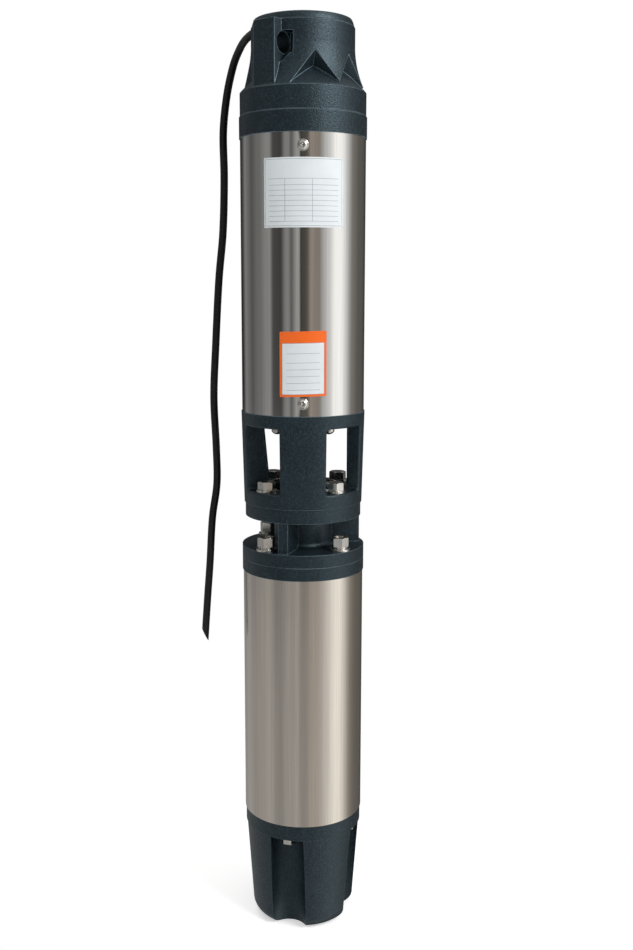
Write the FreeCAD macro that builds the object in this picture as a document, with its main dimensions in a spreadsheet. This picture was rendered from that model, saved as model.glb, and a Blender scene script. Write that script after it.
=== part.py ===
import FreeCAD, Part

import math
import os
import re

import Sketcher

# Borehole submersible pump: a multistage pump end above a canned, oil-filled motor.
# Units are millimetres. +Z is up, the origin is the centre of the foot's flat bottom,
# and the front of the pump, the side with the rating plates, faces -Y.
# Angles round the pump are degrees from the front, positive towards +X.

DOC = FreeCAD.newDocument("borehole_pump")
SHEET = DOC.addObject("Spreadsheet::Sheet", "sizes")
PIECES = []


# Driving dimensions, in millimetres and degrees
SIZES = {
    # Outer sheet-metal shells
    "shell_radius": 71,             # outer radius of both stainless shells
    "shell_wall": 2.5,              # wall of both shells
    "spigot_gap": 0.05,             # radial clearance of a spigot in its shell
    # Foot casting of the motor
    "foot_height": 119.5,           # foot casting below its collar
    "foot_rest_radius": 47,         # flat that the pump stands on
    "foot_round": 15,               # rounding of the foot's bottom edge
    "foot_low_radius": 61.7,        # foot just above the rounding
    "foot_inset": 2,                # foot below its collar, inside the shells' outer face
    "collar_height": 18.5,          # collar that the motor shell stands on
    "collar_inset": 1,              # collar inside the shells' outer face
    "flute_radius": 21,             # upright flute that clears a base bolt
    "flute_inset": 11,              # flute's own axis, inside the shells' outer face
    "flute_angle": -16.8,           # first flute, from the front
    "base_bolt_inset": 14,          # base bolts, inside the shells' outer face
    "foot_cavity_radius": 32,       # chamber for the diaphragm
    "foot_floor": 16,               # floor under the diaphragm chamber
    "rim_seat_depth": 4,            # recess for the diaphragm's rim
    "rim_seat_radius": 45,          # outer radius of the diaphragm's rim
    "diaphragm_wall": 2.5,          # rubber wall of the diaphragm
    "diaphragm_depth": 70,          # depth of the diaphragm's cup
    # Motor inside its shell
    "lower_spigot": 32,             # lower bearing housing inside the shell
    "winding_space": 32.5,          # room for an end winding above or below the core
    "winding_height": 27,           # end winding
    "core_length": 170,             # stacked stator laminations
    "core_bore": 36.5,              # bore of the stator
    "air_gap": 0.5,                 # radial air gap between stator and rotor
    "upper_spigot": 32,             # upper bearing housing inside the shell
    "ring_height": 15,              # flange of the upper bearing housing
    "ring_proud": 1,                # flanges on the motor's top, outside the shells
    "shaft_radius": 12.5,           # both shafts at their journals
    "rotor_seat_radius": 17,        # motor shaft inside the rotor core
    "end_ring_height": 12,          # short-circuit ring of the rotor
    "running_gap": 0.08,            # radial clearance of a running fit
    "bearing_radius": 31,           # outer radius of the ball bearings
    "bearing_width": 17,            # width of the ball bearings
    "ball_radius": 5.4,             # ball of the motor bearings
    "ball_pitch_radius": 21.75,     # circle of the ball centres
    "race_wall": 5.2,               # depth of each bearing ring
    "cage_half_height": 7,          # half the height of the ball cage
    "ball_gap": 0.06,               # clearance round a ball in its groove
    # Spool-shaped casting between motor and pump
    "low_flange": 15,               # lower flange of the motor bracket
    "waist_gap": 35.5,              # open waist of the motor bracket
    "high_flange": 16,              # upper flange of the motor bracket
    "high_flange_inset": 3,         # upper flange, inside the shells' outer face
    "neck_radius": 34,              # neck of the motor bracket
    "neck_round": 6,                # fillet at the foot of the neck
    "chamber_radius": 24,           # seal chamber in the neck
    "web_thickness": 12,            # upright webs of the motor bracket
    "web_inset": 4,                 # webs' outer edge, inside the shells' outer face
    "web_angle": -20,               # first web, from the front
    "back_web_angle": 206.5,        # back web, between a stud and the lead's gland
    "pilot_radius": 38.1,           # pilot that centres the pump on the motor
    "pilot_height": 4,              # pilot above the upper flange
    "seat_radius": 20,              # outer radius of the seal's still ring
    "seal_height": 8,               # height of each seal ring
    "stud_radius": 6,               # M12 studs and flange bolts
    "stud_inset": 11,               # motor studs, inside the shells' outer face
    "bolt_inset": 15.45,            # flange bolts, inside the shells' outer face
    "hex_flats": 18,                # across flats of an M12 head or nut
    "nut_height": 10.8,             # height of an M12 nut
    "head_height": 9.5,             # height of an M12 bolt head
    "washer_radius": 12,            # outer radius of an M12 washer
    "washer_height": 2.5,           # thickness of a flat washer
    "spring_washer_height": 2.5,    # thickness of a spring washer
    "small_flats": 16,              # across flats of an M10 base bolt
    "small_bolt_radius": 5,         # M10 base bolts
    "small_head_height": 8,         # height of an M10 head
    # Suction bracket
    "suction_floor": 16.5,          # bottom ring of the suction bracket
    "suction_low_inset": 1.8,       # suction bracket's bottom, inside the shells' outer face
    "window_height": 75,            # intake windows
    "column_half_angle": 22.4,      # half the angle of each column
    "window_round": 3,              # rounding of the window corners
    "window_edge": 2.5,             # rounding of the windows' outer edges
    "column_depth": 14.4,           # columns, from the shells' outer face to their inner face
    "gusset_low_inset": 28.2,       # thick column's inner face at its foot, inside the outer face
    "gusset_top_inset": 20.7,       # thick column's inner face at its top, inside the outer face
    "suction_top_ring": 15.3,       # top ring of the suction bracket
    "guard_foot": 8.3,              # guard's lower screws below the pump shell
    "inlet_plate_height": 3,        # plate screwed under the top ring
    "inlet_flange_height": 10,      # inner flange above the inlet plate
    "eye_radius": 34,               # suction opening to the first impeller
    "inlet_screw_inset": 20,        # inlet plate screws, inside the shells' outer face
    "inlet_screw_radius": 3,        # M6 inlet plate screws
    "inlet_screw_angle": 35,        # inlet plate screws from the front or back
    "pan_radius": 6.5,              # pan head of an inlet plate screw
    "pan_height": 8,                # height of a pan head with its dome
    # Pump end
    "bracket_spigot": 24.7,         # suction bracket inside the pump shell
    "stage_height": 56,             # one pump stage
    "stage_count": 4,               # number of stages
    "spider_height": 26,            # top bearing spider
    "spider_rim": 7,                # rim of the spider
    "spider_arm": 8,                # width of the spider's arms
    "spider_hub_wall": 6,           # hub of the spider, outside its bush
    "head_spigot": 31,              # discharge head inside the pump shell
    "bowl_wall": 3,                 # outer wall of a stage bowl
    "bowl_cover": 5,                # bottom cover of a stage bowl
    "wear_ring_wall": 3.6,          # wear ring in the cover of a bowl
    "neck_outer_radius": 30,        # suction neck of an impeller
    "wear_gap": 0.3,                # gap between impeller neck and wear ring
    "impeller_gap": 8.3,            # water's way between an impeller and the bowl's wall
    "impeller_width": 8,            # passage between the impeller's shrouds
    "shroud_wall": 3,               # shrouds of an impeller
    "vane_wall": 2.4,               # thickness of every vane
    "vane_radius": 34,              # bend of an impeller vane
    "vane_offset": 26,              # centre of that bend from the axis
    "impeller_vanes": 6,            # number of vanes of an impeller
    "side_gap": 2,                  # axial gap on both sides of an impeller
    "sleeve_radius": 16,            # hubs and spacer sleeves on the pump shaft
    "bush_wall": 4,                 # wall of the bearing bushes
    "diffuser_plate": 4,            # plate above an impeller
    "diffuser_gap": 5.3,            # water's way between that plate and the bowl's wall
    "diffuser_vanes": 6,            # number of return vanes of a bowl
    "diffuser_lean": 35,            # angle of a return vane from the radius
    "shell_screw_radius": 3,        # M6 shell screws
    "button_radius": 6.4,           # flanged button head of a shell screw
    "button_height": 4,             # height of that head
    "screw_edge": 14.1,             # shell screws from the shell's ends
    "screw_length": 14,             # shank of a shell screw
    "screw_flange": 1.2,            # flange under its button head
    "screw_hole_depth": 16,         # bottom of its hole, inside the shells' outer face
    # Shaft coupling
    "coupling_radius": 20,          # outer radius of the coupling sleeve
    "coupling_length": 70,          # length of the coupling sleeve
    "shaft_rise": 50,               # motor shaft above the motor bracket
    # Discharge head
    "low_band": 23,                 # lower band of the head
    "band_proud": 1,                # lower band of the head, outside the shells
    "high_band": 26.7,              # upper band of the head
    "head_cylinder_inset": 13,      # cylinder of the head, inside the shells' outer face
    "flare_inset": 1,               # foot of the flare, inside the shells' outer face
    "flare_height": 45,             # height of the flare above the upper band
    "flare_bend": 110,              # bend of the concave flare
    "cylinder_height": 68,          # head above its bands, below the lip
    "head_lip_height": 8.3,         # tapered lip of the outlet
    "head_lip_inset": 16.3,         # top of the tapered lip, inside the shells' outer face
    "outlet_radius": 36.1,          # G 2 1/2 outlet thread at its crest
    "outlet_depth": 28,             # length of the outlet thread
    "valve_chamber_radius": 35,     # chamber of the check valve
    "pocket_angle": 12.9,           # first pocket, from the front
    "pocket_half_angle": 44,        # half the angle of a pocket's notch
    "pocket_depth": 23,             # inner end of a pocket's floor, inside the shells' outer face
    "pocket_floor_height": 21.3,    # inner end of the floor above the bands
    "pocket_apex_height": 35.3,     # apex of a pocket above the bands
    "lug_angle": -38,               # first rope eye, from the front
    "lug_half_width": 14.5,         # half the width of a rope eye
    "lug_inset": 1.5,               # face of a rope eye, inside the shells' outer face
    "eye_hole_radius": 11.5,        # hole of a rope eye
    "eye_hole_inset": 18.4,         # hole of a rope eye, inside the shells' outer face
    "eye_hole_height": 44.3,        # hole of a rope eye above the bands
    "recess_depth": 30,             # floor of the recesses beside a rope eye, inside that face
    "recess_width": 12.4,           # width of those recesses
    "recess_top": 56.3,             # top of the recesses above the bands
    "recess_low": 24,               # lowest corner of the recesses above the bands
    "recess_step": 36.9,            # outer lower corner above the bands
    # Check valve
    "valve_seat_radius": 39,        # seat ring pressed into the head
    "valve_seat_height": 12,        # height of the seat ring
    "valve_bore": 26,               # bore of the seat ring
    "valve_radius": 31,             # valve disc
    "valve_height": 6,              # thickness of the valve disc
    "seal_wall": 2,                 # rubber seal under the valve disc
    "valve_stem_radius": 5,         # stem of the valve disc
    "valve_stem_length": 70,        # stem above the valve disc
    "guide_rise": 50,               # valve guide above the seat
    "guide_height": 6,              # height of the valve guide
    "guide_arm": 6,                 # width of the guide's arms
    "guide_rim": 4,                 # rim and hub of the guide
    "circlip_height": 2,            # circlip above the valve guide
    "circlip_depth": 2,             # depth of the circlip's groove
    "circlip_wall": 3,              # circlip inside its groove
    "circlip_gap": 14,              # opening of the circlip
    "spring_wire": 1.2,             # radius of the valve spring's wire
    "spring_radius": 11,            # middle radius of the valve spring
    "spring_turns": 6,              # turns of the valve spring
    # Motor lead and its guard
    "lead_radius": 4.5,             # round rubber motor lead
    "lead_clearance": 0.7,          # lead off the guard's flaps
    "gland_height": 28,             # gland above the lower flange's underside
    "gland_flats": 15,              # across flats of the gland
    "gland_hex_length": 6,          # hexagon of the gland
    "gland_dome_length": 7,         # dome nut of the gland
    "lead_bend_gap": 12.5,          # lead's first bend beyond the neck
    "gland_wall": 1.5,              # wall of the gland's stub
    "guard_wall": 1,                # sheet of the lead guard
    "guard_inner_width": 10.4,      # inside width of the lead guard
    "guard_flap": 10,               # flap on each side of the lead guard
    "guard_clearance": 0.3,         # guard's flaps off the head's lower band
    "guard_start": 26.5,            # guard's lower end above the suction bracket's foot
    "guard_end": 50,                # guard's upper end above the pump shell
    "guard_screw_radius": 2.5,      # M5 guard screws
    "guard_screw_length": 10,       # shank of a guard screw
    "guard_head_radius": 4.5,       # head of a guard screw
    "guard_head_height": 2.5,       # height of that head
}

for row, (alias, number) in enumerate(SIZES.items(), 1):
    SHEET.set(f"A{row}", alias.replace("_", " "))
    SHEET.set(f"B{row}", str(number))
    SHEET.setAlias(f"B{row}", alias)
DOC.recompute()

# Heights of the seats, from the foot up, as expressions of the sheet
COLLAR = "foot_height"
MOTOR_SHELL = f"({COLLAR} + collar_height)"
MOTOR_LENGTH = "(lower_spigot + 2 * winding_space + core_length + upper_spigot)"
CORE = f"({MOTOR_SHELL} + lower_spigot + winding_space)"
RING = f"({MOTOR_SHELL} + {MOTOR_LENGTH})"
SPOOL = f"({RING} + ring_height)"
WAIST = f"({SPOOL} + low_flange)"
HIGH_FLANGE = f"({WAIST} + waist_gap)"
SUCTION = f"({HIGH_FLANGE} + high_flange)"
SUCTION_HEIGHT = "(suction_floor + window_height + suction_top_ring)"
PUMP_SHELL = f"({SUCTION} + {SUCTION_HEIGHT})"
STAGES = f"({PUMP_SHELL} + bracket_spigot)"
SPIDER = f"({STAGES} + stage_count * stage_height)"
PUMP_LENGTH = "(bracket_spigot + stage_count * stage_height + spider_height + head_spigot)"
HEAD = f"({PUMP_SHELL} + {PUMP_LENGTH})"
BANDS = "(low_band + high_band)"
VALVE_SEAT = f"({HEAD} - valve_seat_height)"

# Radii that follow the shells
SPIGOT = "(shell_radius - shell_wall - spigot_gap)"
RING_RADIUS = "(shell_radius + ring_proud)"
BAND_RADIUS = "(shell_radius + band_proud)"
COLLAR_RADIUS = "(shell_radius - collar_inset)"
FOOT_TOP_RADIUS = "(shell_radius - foot_inset)"
HEAD_CYLINDER = "(shell_radius - head_cylinder_inset)"
HEAD_LIP_RADIUS = "(shell_radius - head_lip_inset)"
EYE_CENTRE = "(shell_radius - eye_hole_inset)"
RECESS_FLOOR = "(shell_radius - recess_depth)"
POCKET_FLOOR = "(shell_radius - pocket_depth)"
INLET_SCREW_CENTRE = "(shell_radius - inlet_screw_inset)"
GUSSET_LOW_RADIUS = "(shell_radius - gusset_low_inset)"
GUSSET_TOP_RADIUS = "(shell_radius - gusset_top_inset)"
BOLT_CENTRE = "(shell_radius - bolt_inset)"
SUCTION_LOW_RADIUS = "(shell_radius - suction_low_inset)"
COLUMN_RADIUS = "(shell_radius - column_depth)"
HIGH_FLANGE_RADIUS = "(shell_radius - high_flange_inset)"
WEB_REACH = "(shell_radius - web_inset)"
FLARE_RADIUS = "(shell_radius - flare_inset)"
LUG_RADIUS = "(shell_radius - lug_inset)"
STUD_CENTRE = "(shell_radius - stud_inset)"
BASE_BOLT_CENTRE = "(shell_radius - base_bolt_inset)"
FLUTE_CENTRE = "(shell_radius - flute_inset)"
BOWL_RADIUS = "(shell_radius - shell_wall - 4 * spigot_gap)"
BOWL_BORE = f"({BOWL_RADIUS} - bowl_wall)"
IMPELLER_RADIUS = f"({BOWL_BORE} - impeller_gap)"
DIFFUSER_RADIUS = f"({BOWL_BORE} - diffuser_gap)"
GUARD_STAND = f"({BAND_RADIUS} + guard_clearance)"
LEAD_RUN = f"({GUARD_STAND} + lead_radius + lead_clearance)"

# Other radii and heights that several pieces share
SHAFT_TOP = f"({SUCTION} + shaft_rise)"
BUSH_RADIUS = "(sleeve_radius + running_gap + bush_wall)"
WEAR_RADIUS = "(neck_outer_radius + wear_gap + wear_ring_wall)"
IMPELLER_FOOT = "(bowl_cover / 2)"
LOW_SHROUD = "(bowl_cover + side_gap)"
PASSAGE = f"({LOW_SHROUD} + shroud_wall)"
HIGH_SHROUD = f"({PASSAGE} + impeller_width)"
HUB_TOP = f"({HIGH_SHROUD} + shroud_wall)"
PLATE = f"({HUB_TOP} + side_gap)"
TOP_HUB = "(spider_height - 6)"
TINY = 0.01
CHAMFER_SLOPE = 1.9
CHAMFER_TOP = 0.97
QUARTERS = ["45", "135", "225", "315"]
BOLT_ANGLES = ["41", "131", "221", "311"]
SHELL_SCREW_ANGLES = ["0", "120", "240"]


def bound(text):
    """Turn an expression of bare aliases into one that names the sheet."""
    return re.sub(r"[A-Za-z_]\w*", lambda word: "sizes." + word.group()
                  if word.group() in SIZES else word.group(), str(text))


def value(text):
    """Work an expression out to a plain number."""
    return float(SHEET.evalExpression(str(text)))


def bind(thing, path, text):
    """Tie one property of an object to the sheet."""
    thing.setExpression(path, bound(text))


def place(thing, up="0", out="0", turn="0"):
    """Raise an object, move it out towards the front and turn it round the pump's axis."""
    bind(thing, "Placement.Base.x", f"({out}) * sin({turn})")
    bind(thing, "Placement.Base.y", f"-({out}) * cos({turn})")
    bind(thing, "Placement.Base.z", up)
    bind(thing, "Placement.Rotation.Angle", turn)
    return thing


def finish(thing, up="0", turn="0"):
    """Give a finished sub-part its place and count it among the pump's pieces."""
    if thing.TypeId != "Part::Feature":
        thing.Label = thing.Name
    PIECES.append(place(thing, up, "0", turn))
    return thing


def arc_middle(start, end, bend):
    """Middle point of the arc of radius |bend| from start to end; + bulges right of travel."""
    along = end - start
    half = along.Length / 2
    rise = abs(bend) - math.sqrt(max(bend * bend - half * half, 0))
    side = FreeCAD.Vector(along.y, -along.x, 0).normalize()
    return (start + end) * 0.5 + side * math.copysign(rise, bend)


def draw(sketch, corners):
    """Draw a closed outline and tie each corner to the sheet.

    A corner is (across, up), or (across, up, bend) where an arc leads to it.
    """
    points = [FreeCAD.Vector(value(corner[0]), value(corner[1]), 0) for corner in corners]
    ends = []
    for index, corner in enumerate(corners):
        start = points[index - 1]
        end = points[index]
        if len(corner) == 3:
            middle = arc_middle(start, end, value(corner[2]))
            edge = sketch.addGeometry(Part.Arc(start, middle, end))
        else:
            edge = sketch.addGeometry(Part.LineSegment(start, end))
        forward = (sketch.getPoint(edge, 2) - end).Length < (sketch.getPoint(edge, 1) - end).Length
        ends.append((edge, 1 if forward else 2, 2 if forward else 1))
    joints = []
    for index, (edge, first, last) in enumerate(ends):
        following = ends[(index + 1) % len(ends)]
        joints.append(Sketcher.Constraint("Coincident", edge, last, following[0], following[1]))
    sketch.addConstraint(joints)
    for index, (edge, first, last) in enumerate(ends):
        for kind, name, text, number in (("DistanceX", "across", corners[index][0], points[index].x),
                                         ("DistanceY", "up", corners[index][1], points[index].y)):
            place_of = sketch.addConstraint(Sketcher.Constraint(kind, -1, 1, edge, last, number))
            sketch.renameConstraint(place_of, f"{name}_{index}")
            sketch.setExpression(f"Constraints.{name}_{index}", bound(text))
        if len(corners[index]) == 3:
            bend = abs(value(corners[index][2]))
            place_of = sketch.addConstraint(Sketcher.Constraint("Radius", edge, bend))
            sketch.renameConstraint(place_of, f"bend_{index}")
            sketch.setExpression(f"Constraints.bend_{index}", bound(f"abs({corners[index][2]})"))


def origin_plane(body, role):
    """Find one of a body's own origin planes."""
    return [feature for feature in body.Origin.OriginFeatures if feature.Role == role][0]


def turned(name, corners, sweep="360"):
    """Turn an outline of (radius, height) corners round the pump's axis."""
    body = DOC.addObject("PartDesign::Body", name)
    sketch = body.newObject("Sketcher::SketchObject", name + "_outline")
    sketch.AttachmentSupport = [(origin_plane(body, "XZ_Plane"), "")]
    sketch.MapMode = "FlatFace"
    draw(sketch, corners)
    turn = body.newObject("PartDesign::Revolution", name + "_turn")
    turn.Profile = sketch
    turn.ReferenceAxis = (sketch, ["V_Axis"])
    turn.Angle = 360
    if sweep != "360":
        bind(turn, "Angle", sweep)
        turn.Midplane = True
    return body


def ring(name, inner, outer, low, high):
    """Turn a plain ring with a rectangular section."""
    return turned(name, [(inner, low), (outer, low), (outer, high), (inner, high)])


def rod(name, radius, height, out="0", up="0", turn="0"):
    """Upright cylinder."""
    cylinder = DOC.addObject("Part::Cylinder", name)
    bind(cylinder, "Radius", radius)
    bind(cylinder, "Height", height)
    return place(cylinder, up, out, turn)


def spoke(name, radius, length, out, up):
    """Cylinder that lies along the radius at the front and points outwards."""
    cylinder = DOC.addObject("Part::Cylinder", name)
    bind(cylinder, "Radius", radius)
    bind(cylinder, "Height", length)
    cylinder.Placement = FreeCAD.Placement(FreeCAD.Vector(), FreeCAD.Rotation(FreeCAD.Vector(1, 0, 0), 90))
    bind(cylinder, "Placement.Base.y", f"-({out})")
    bind(cylinder, "Placement.Base.z", up)
    return cylinder


def block(name, wide, deep, high, out, up="0", side="0"):
    """Upright box at the front: out is its outer face, side moves it towards +X."""
    box = DOC.addObject("Part::Box", name)
    bind(box, "Length", wide)
    bind(box, "Width", deep)
    bind(box, "Height", high)
    bind(box, "Placement.Base.x", f"({side}) - ({wide}) / 2")
    bind(box, "Placement.Base.y", f"-({out})")
    bind(box, "Placement.Base.z", up)
    return box


def hexagon(name, flats, height, out="0", up="0"):
    """Upright hexagonal prism."""
    prism = DOC.addObject("Part::Prism", name)
    prism.Polygon = 6
    bind(prism, "Circumradius", f"({flats}) / sqrt(3)")
    bind(prism, "Height", height)
    return place(prism, up, out)


def join(name, parts):
    """Fuse objects into one solid."""
    fusion = DOC.addObject("Part::MultiFuse", name)
    fusion.Shapes = parts
    return fusion


def cut(name, base, *tools):
    """Cut one or more objects from a base."""
    tool = tools[0]
    if len(tools) > 1:
        tool = join(name + "_tools", list(tools))
    cutting = DOC.addObject("Part::Cut", name)
    cutting.Base = base
    cutting.Tool = tool
    return cutting


def common(name, parts):
    """Keep what several objects share."""
    shared = DOC.addObject("Part::MultiCommon", name)
    shared.Shapes = parts
    return shared


def around(name, one, angles):
    """Copies of an object turned round the pump's axis to each angle."""
    copies = []
    for number, angle in enumerate(angles, 1):
        copy = DOC.addObject("App::Link", f"{name}_{number}")
        copy.LinkedObject = one
        copy.LinkTransform = True
        bind(copy, "Placement.Rotation.Angle", angle)
        copies.append(copy)
    group = DOC.addObject("Part::Compound", name)
    group.Links = copies
    return group


def stacked(name, one, count, pitch):
    """Copies of an object one above another."""
    copies = []
    for number in range(count):
        copy = DOC.addObject("App::Link", f"{name}_{number + 1}")
        copy.LinkedObject = one
        copy.LinkTransform = True
        bind(copy, "Placement.Base.z", f"{number} * ({pitch})")
        copies.append(copy)
    group = DOC.addObject("Part::Compound", name)
    group.Links = copies
    return group


def rounded(name, base, radius, wanted):
    """Round the edges of an object that pass a test."""
    DOC.recompute()
    fillet = DOC.addObject("Part::Fillet", name)
    fillet.Base = base
    fillet.Edges = [(number, value(radius), value(radius))
                    for number, edge in enumerate(base.Shape.Edges, 1) if wanted(edge)]
    return fillet


def even(count, first="0"):
    """Evenly spaced angles."""
    return [f"({first}) + {360 * number / count}" for number in range(count)]


def make_foot():
    """Fluted foot casting with the collar that the motor shell stands on."""
    top = "foot_height + collar_height"
    body = turned("motor_base_blank", [
        ("0", "0"),
        ("foot_rest_radius", "0"),
        ("foot_low_radius", "foot_round", "foot_round + 0.5"),
        (FOOT_TOP_RADIUS, "foot_height"),
        (COLLAR_RADIUS, "foot_height"),
        (COLLAR_RADIUS, top),
        ("rim_seat_radius", top),
        ("rim_seat_radius", f"{top} - rim_seat_depth"),
        ("foot_cavity_radius", f"{top} - rim_seat_depth"),
        ("foot_cavity_radius", "foot_floor"),
        ("0", "foot_floor"),
    ])
    flute = rod("foot_flute", "flute_radius", "foot_height", FLUTE_CENTRE)
    hole = rod("foot_bolt_hole", "small_bolt_radius", "collar_height", BASE_BOLT_CENTRE, COLLAR)
    angles = even(4, "flute_angle")
    base = cut("motor_base", body, around("foot_flutes", flute, angles), around("foot_holes", hole, angles))
    finish(base)

    head = hexagon("base_bolt_head", "small_flats", "small_head_height", BASE_BOLT_CENTRE, "-small_head_height")
    shank = rod("base_bolt_shank", "small_bolt_radius", "collar_height + lower_spigot / 2", BASE_BOLT_CENTRE)
    bolt = join("base_bolt", [head, shank])
    finish(around("base_bolts", bolt, angles), COLLAR)

    low = f"({top} - rim_seat_depth)"
    cup_radius = "(foot_cavity_radius - 2)"
    finish(turned("diaphragm", [
        ("0", f"{low} - diaphragm_depth"),
        (cup_radius, f"{low} - diaphragm_depth"),
        (cup_radius, low),
        ("rim_seat_radius", low),
        ("rim_seat_radius", f"{low} + rim_seat_depth"),
        (f"{cup_radius} - diaphragm_wall", f"{low} + rim_seat_depth"),
        (f"{cup_radius} - diaphragm_wall", f"{low} - diaphragm_depth + diaphragm_wall"),
        ("0", f"{low} - diaphragm_depth + diaphragm_wall"),
    ]))


def make_bearing(name, height):
    """Ball bearing: two grooved rings and a cage with its balls, centred on height."""
    half = "bearing_width / 2"
    groove = "(ball_radius + ball_gap)"
    inner = turned(f"{name}_inner_blank", [
        ("shaft_radius", f"-{half}"),
        ("shaft_radius + race_wall", f"-{half}"),
        ("shaft_radius + race_wall", half),
        ("shaft_radius", half),
    ])
    outer = turned(f"{name}_outer_blank", [
        ("bearing_radius - race_wall", f"-{half}"),
        ("bearing_radius", f"-{half}"),
        ("bearing_radius", half),
        ("bearing_radius - race_wall", half),
    ])
    for side, blank in (("inner", inner), ("outer", outer)):
        track = DOC.addObject("Part::Torus", f"{name}_{side}_track")
        bind(track, "Radius1", "ball_pitch_radius")
        bind(track, "Radius2", groove)
        finish(cut(f"{name}_{side}_ring", blank, track), height)
    ball = DOC.addObject("Part::Sphere", f"{name}_ball")
    bind(ball, "Radius", "ball_radius")
    place(ball, "0", "ball_pitch_radius")
    cage = ring(f"{name}_cage_blank", "ball_pitch_radius - 1", "ball_pitch_radius + 1",
                "-cage_half_height", "cage_half_height")
    pocket = spoke(f"{name}_cage_pocket", "ball_radius + 2 * ball_gap", "4", "ball_pitch_radius - 2", "0")
    angles = even(8)
    cage = cut(f"{name}_cage", cage, around(f"{name}_pockets", pocket, angles))
    balls = around(f"{name}_ball_set", ball, angles)
    group = DOC.addObject("Part::Compound", f"{name}_balls")
    group.Links = [cage, balls]
    finish(group, height)


def make_motor():
    """Motor shell with its stator, rotor, bearings and bearing housings."""
    finish(ring("motor_shell", "shell_radius - shell_wall", "shell_radius", "0", MOTOR_LENGTH), MOTOR_SHELL)

    seat = "(lower_spigot - bearing_width)"
    blank = turned("lower_housing_blank", [
        ("shaft_radius + 4", "0"),
        (SPIGOT, "0"),
        (SPIGOT, "lower_spigot"),
        ("bearing_radius", "lower_spigot"),
        ("bearing_radius", seat),
        ("shaft_radius + 4", seat),
    ])
    hole = rod("lower_housing_hole", "small_bolt_radius", "lower_spigot / 2", BASE_BOLT_CENTRE)
    finish(cut("lower_bearing_housing", blank, around("lower_housing_holes", hole, even(4, "flute_angle"))),
           MOTOR_SHELL)
    make_bearing("lower_bearing", f"{MOTOR_SHELL} + lower_spigot - bearing_width / 2")

    finish(ring("stator_core", "core_bore", SPIGOT, "0", "core_length"), CORE)
    winding = ring("end_winding", "core_bore + 5", f"{SPIGOT} - 5", "0", "winding_height")
    finish(stacked("end_windings", winding, 2, "core_length + winding_height"), f"{CORE} - winding_height")

    core_radius = "(core_bore - air_gap)"
    finish(ring("rotor_core", "rotor_seat_radius", core_radius, "0", "core_length"), CORE)
    end_ring = ring("rotor_end_ring", "rotor_seat_radius + 3", f"{core_radius} - 2", "0", "end_ring_height")
    finish(stacked("rotor_end_rings", end_ring, 2, "core_length + end_ring_height"),
           f"{CORE} - end_ring_height")

    shoulder = f"({MOTOR_SHELL} + lower_spigot)"
    high_shoulder = f"({RING} - upper_spigot)"
    finish(turned("motor_shaft", [
        ("0", "0"),
        ("shaft_radius", "0"),
        ("shaft_radius", f"{shoulder} - {MOTOR_SHELL} - 6"),
        ("rotor_seat_radius", f"{shoulder} - {MOTOR_SHELL} - 6 + 6"),
        ("rotor_seat_radius", f"{high_shoulder} - {MOTOR_SHELL} - 6"),
        ("shaft_radius", f"{high_shoulder} - {MOTOR_SHELL} - 6"),
        ("shaft_radius", f"{SHAFT_TOP} - {MOTOR_SHELL} - 6"),
        ("0", f"{SHAFT_TOP} - {MOTOR_SHELL} - 6"),
    ]), f"{MOTOR_SHELL} + 6")

    blank = turned("upper_housing_blank", [
        ("bearing_radius", "0"),
        (SPIGOT, "0"),
        (SPIGOT, "upper_spigot"),
        (RING_RADIUS, "upper_spigot"),
        (RING_RADIUS, "upper_spigot + ring_height"),
        ("chamber_radius", "upper_spigot + ring_height"),
        ("chamber_radius", "bearing_width"),
        ("bearing_radius", "bearing_width"),
    ])
    hole = rod("upper_housing_hole", "stud_radius", "ring_height + upper_spigot / 2", STUD_CENTRE,
               "upper_spigot / 2")
    finish(cut("upper_bearing_housing", blank, around("upper_housing_holes", hole, QUARTERS)), high_shoulder)
    make_bearing("upper_bearing", f"{high_shoulder} + bearing_width / 2")


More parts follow.
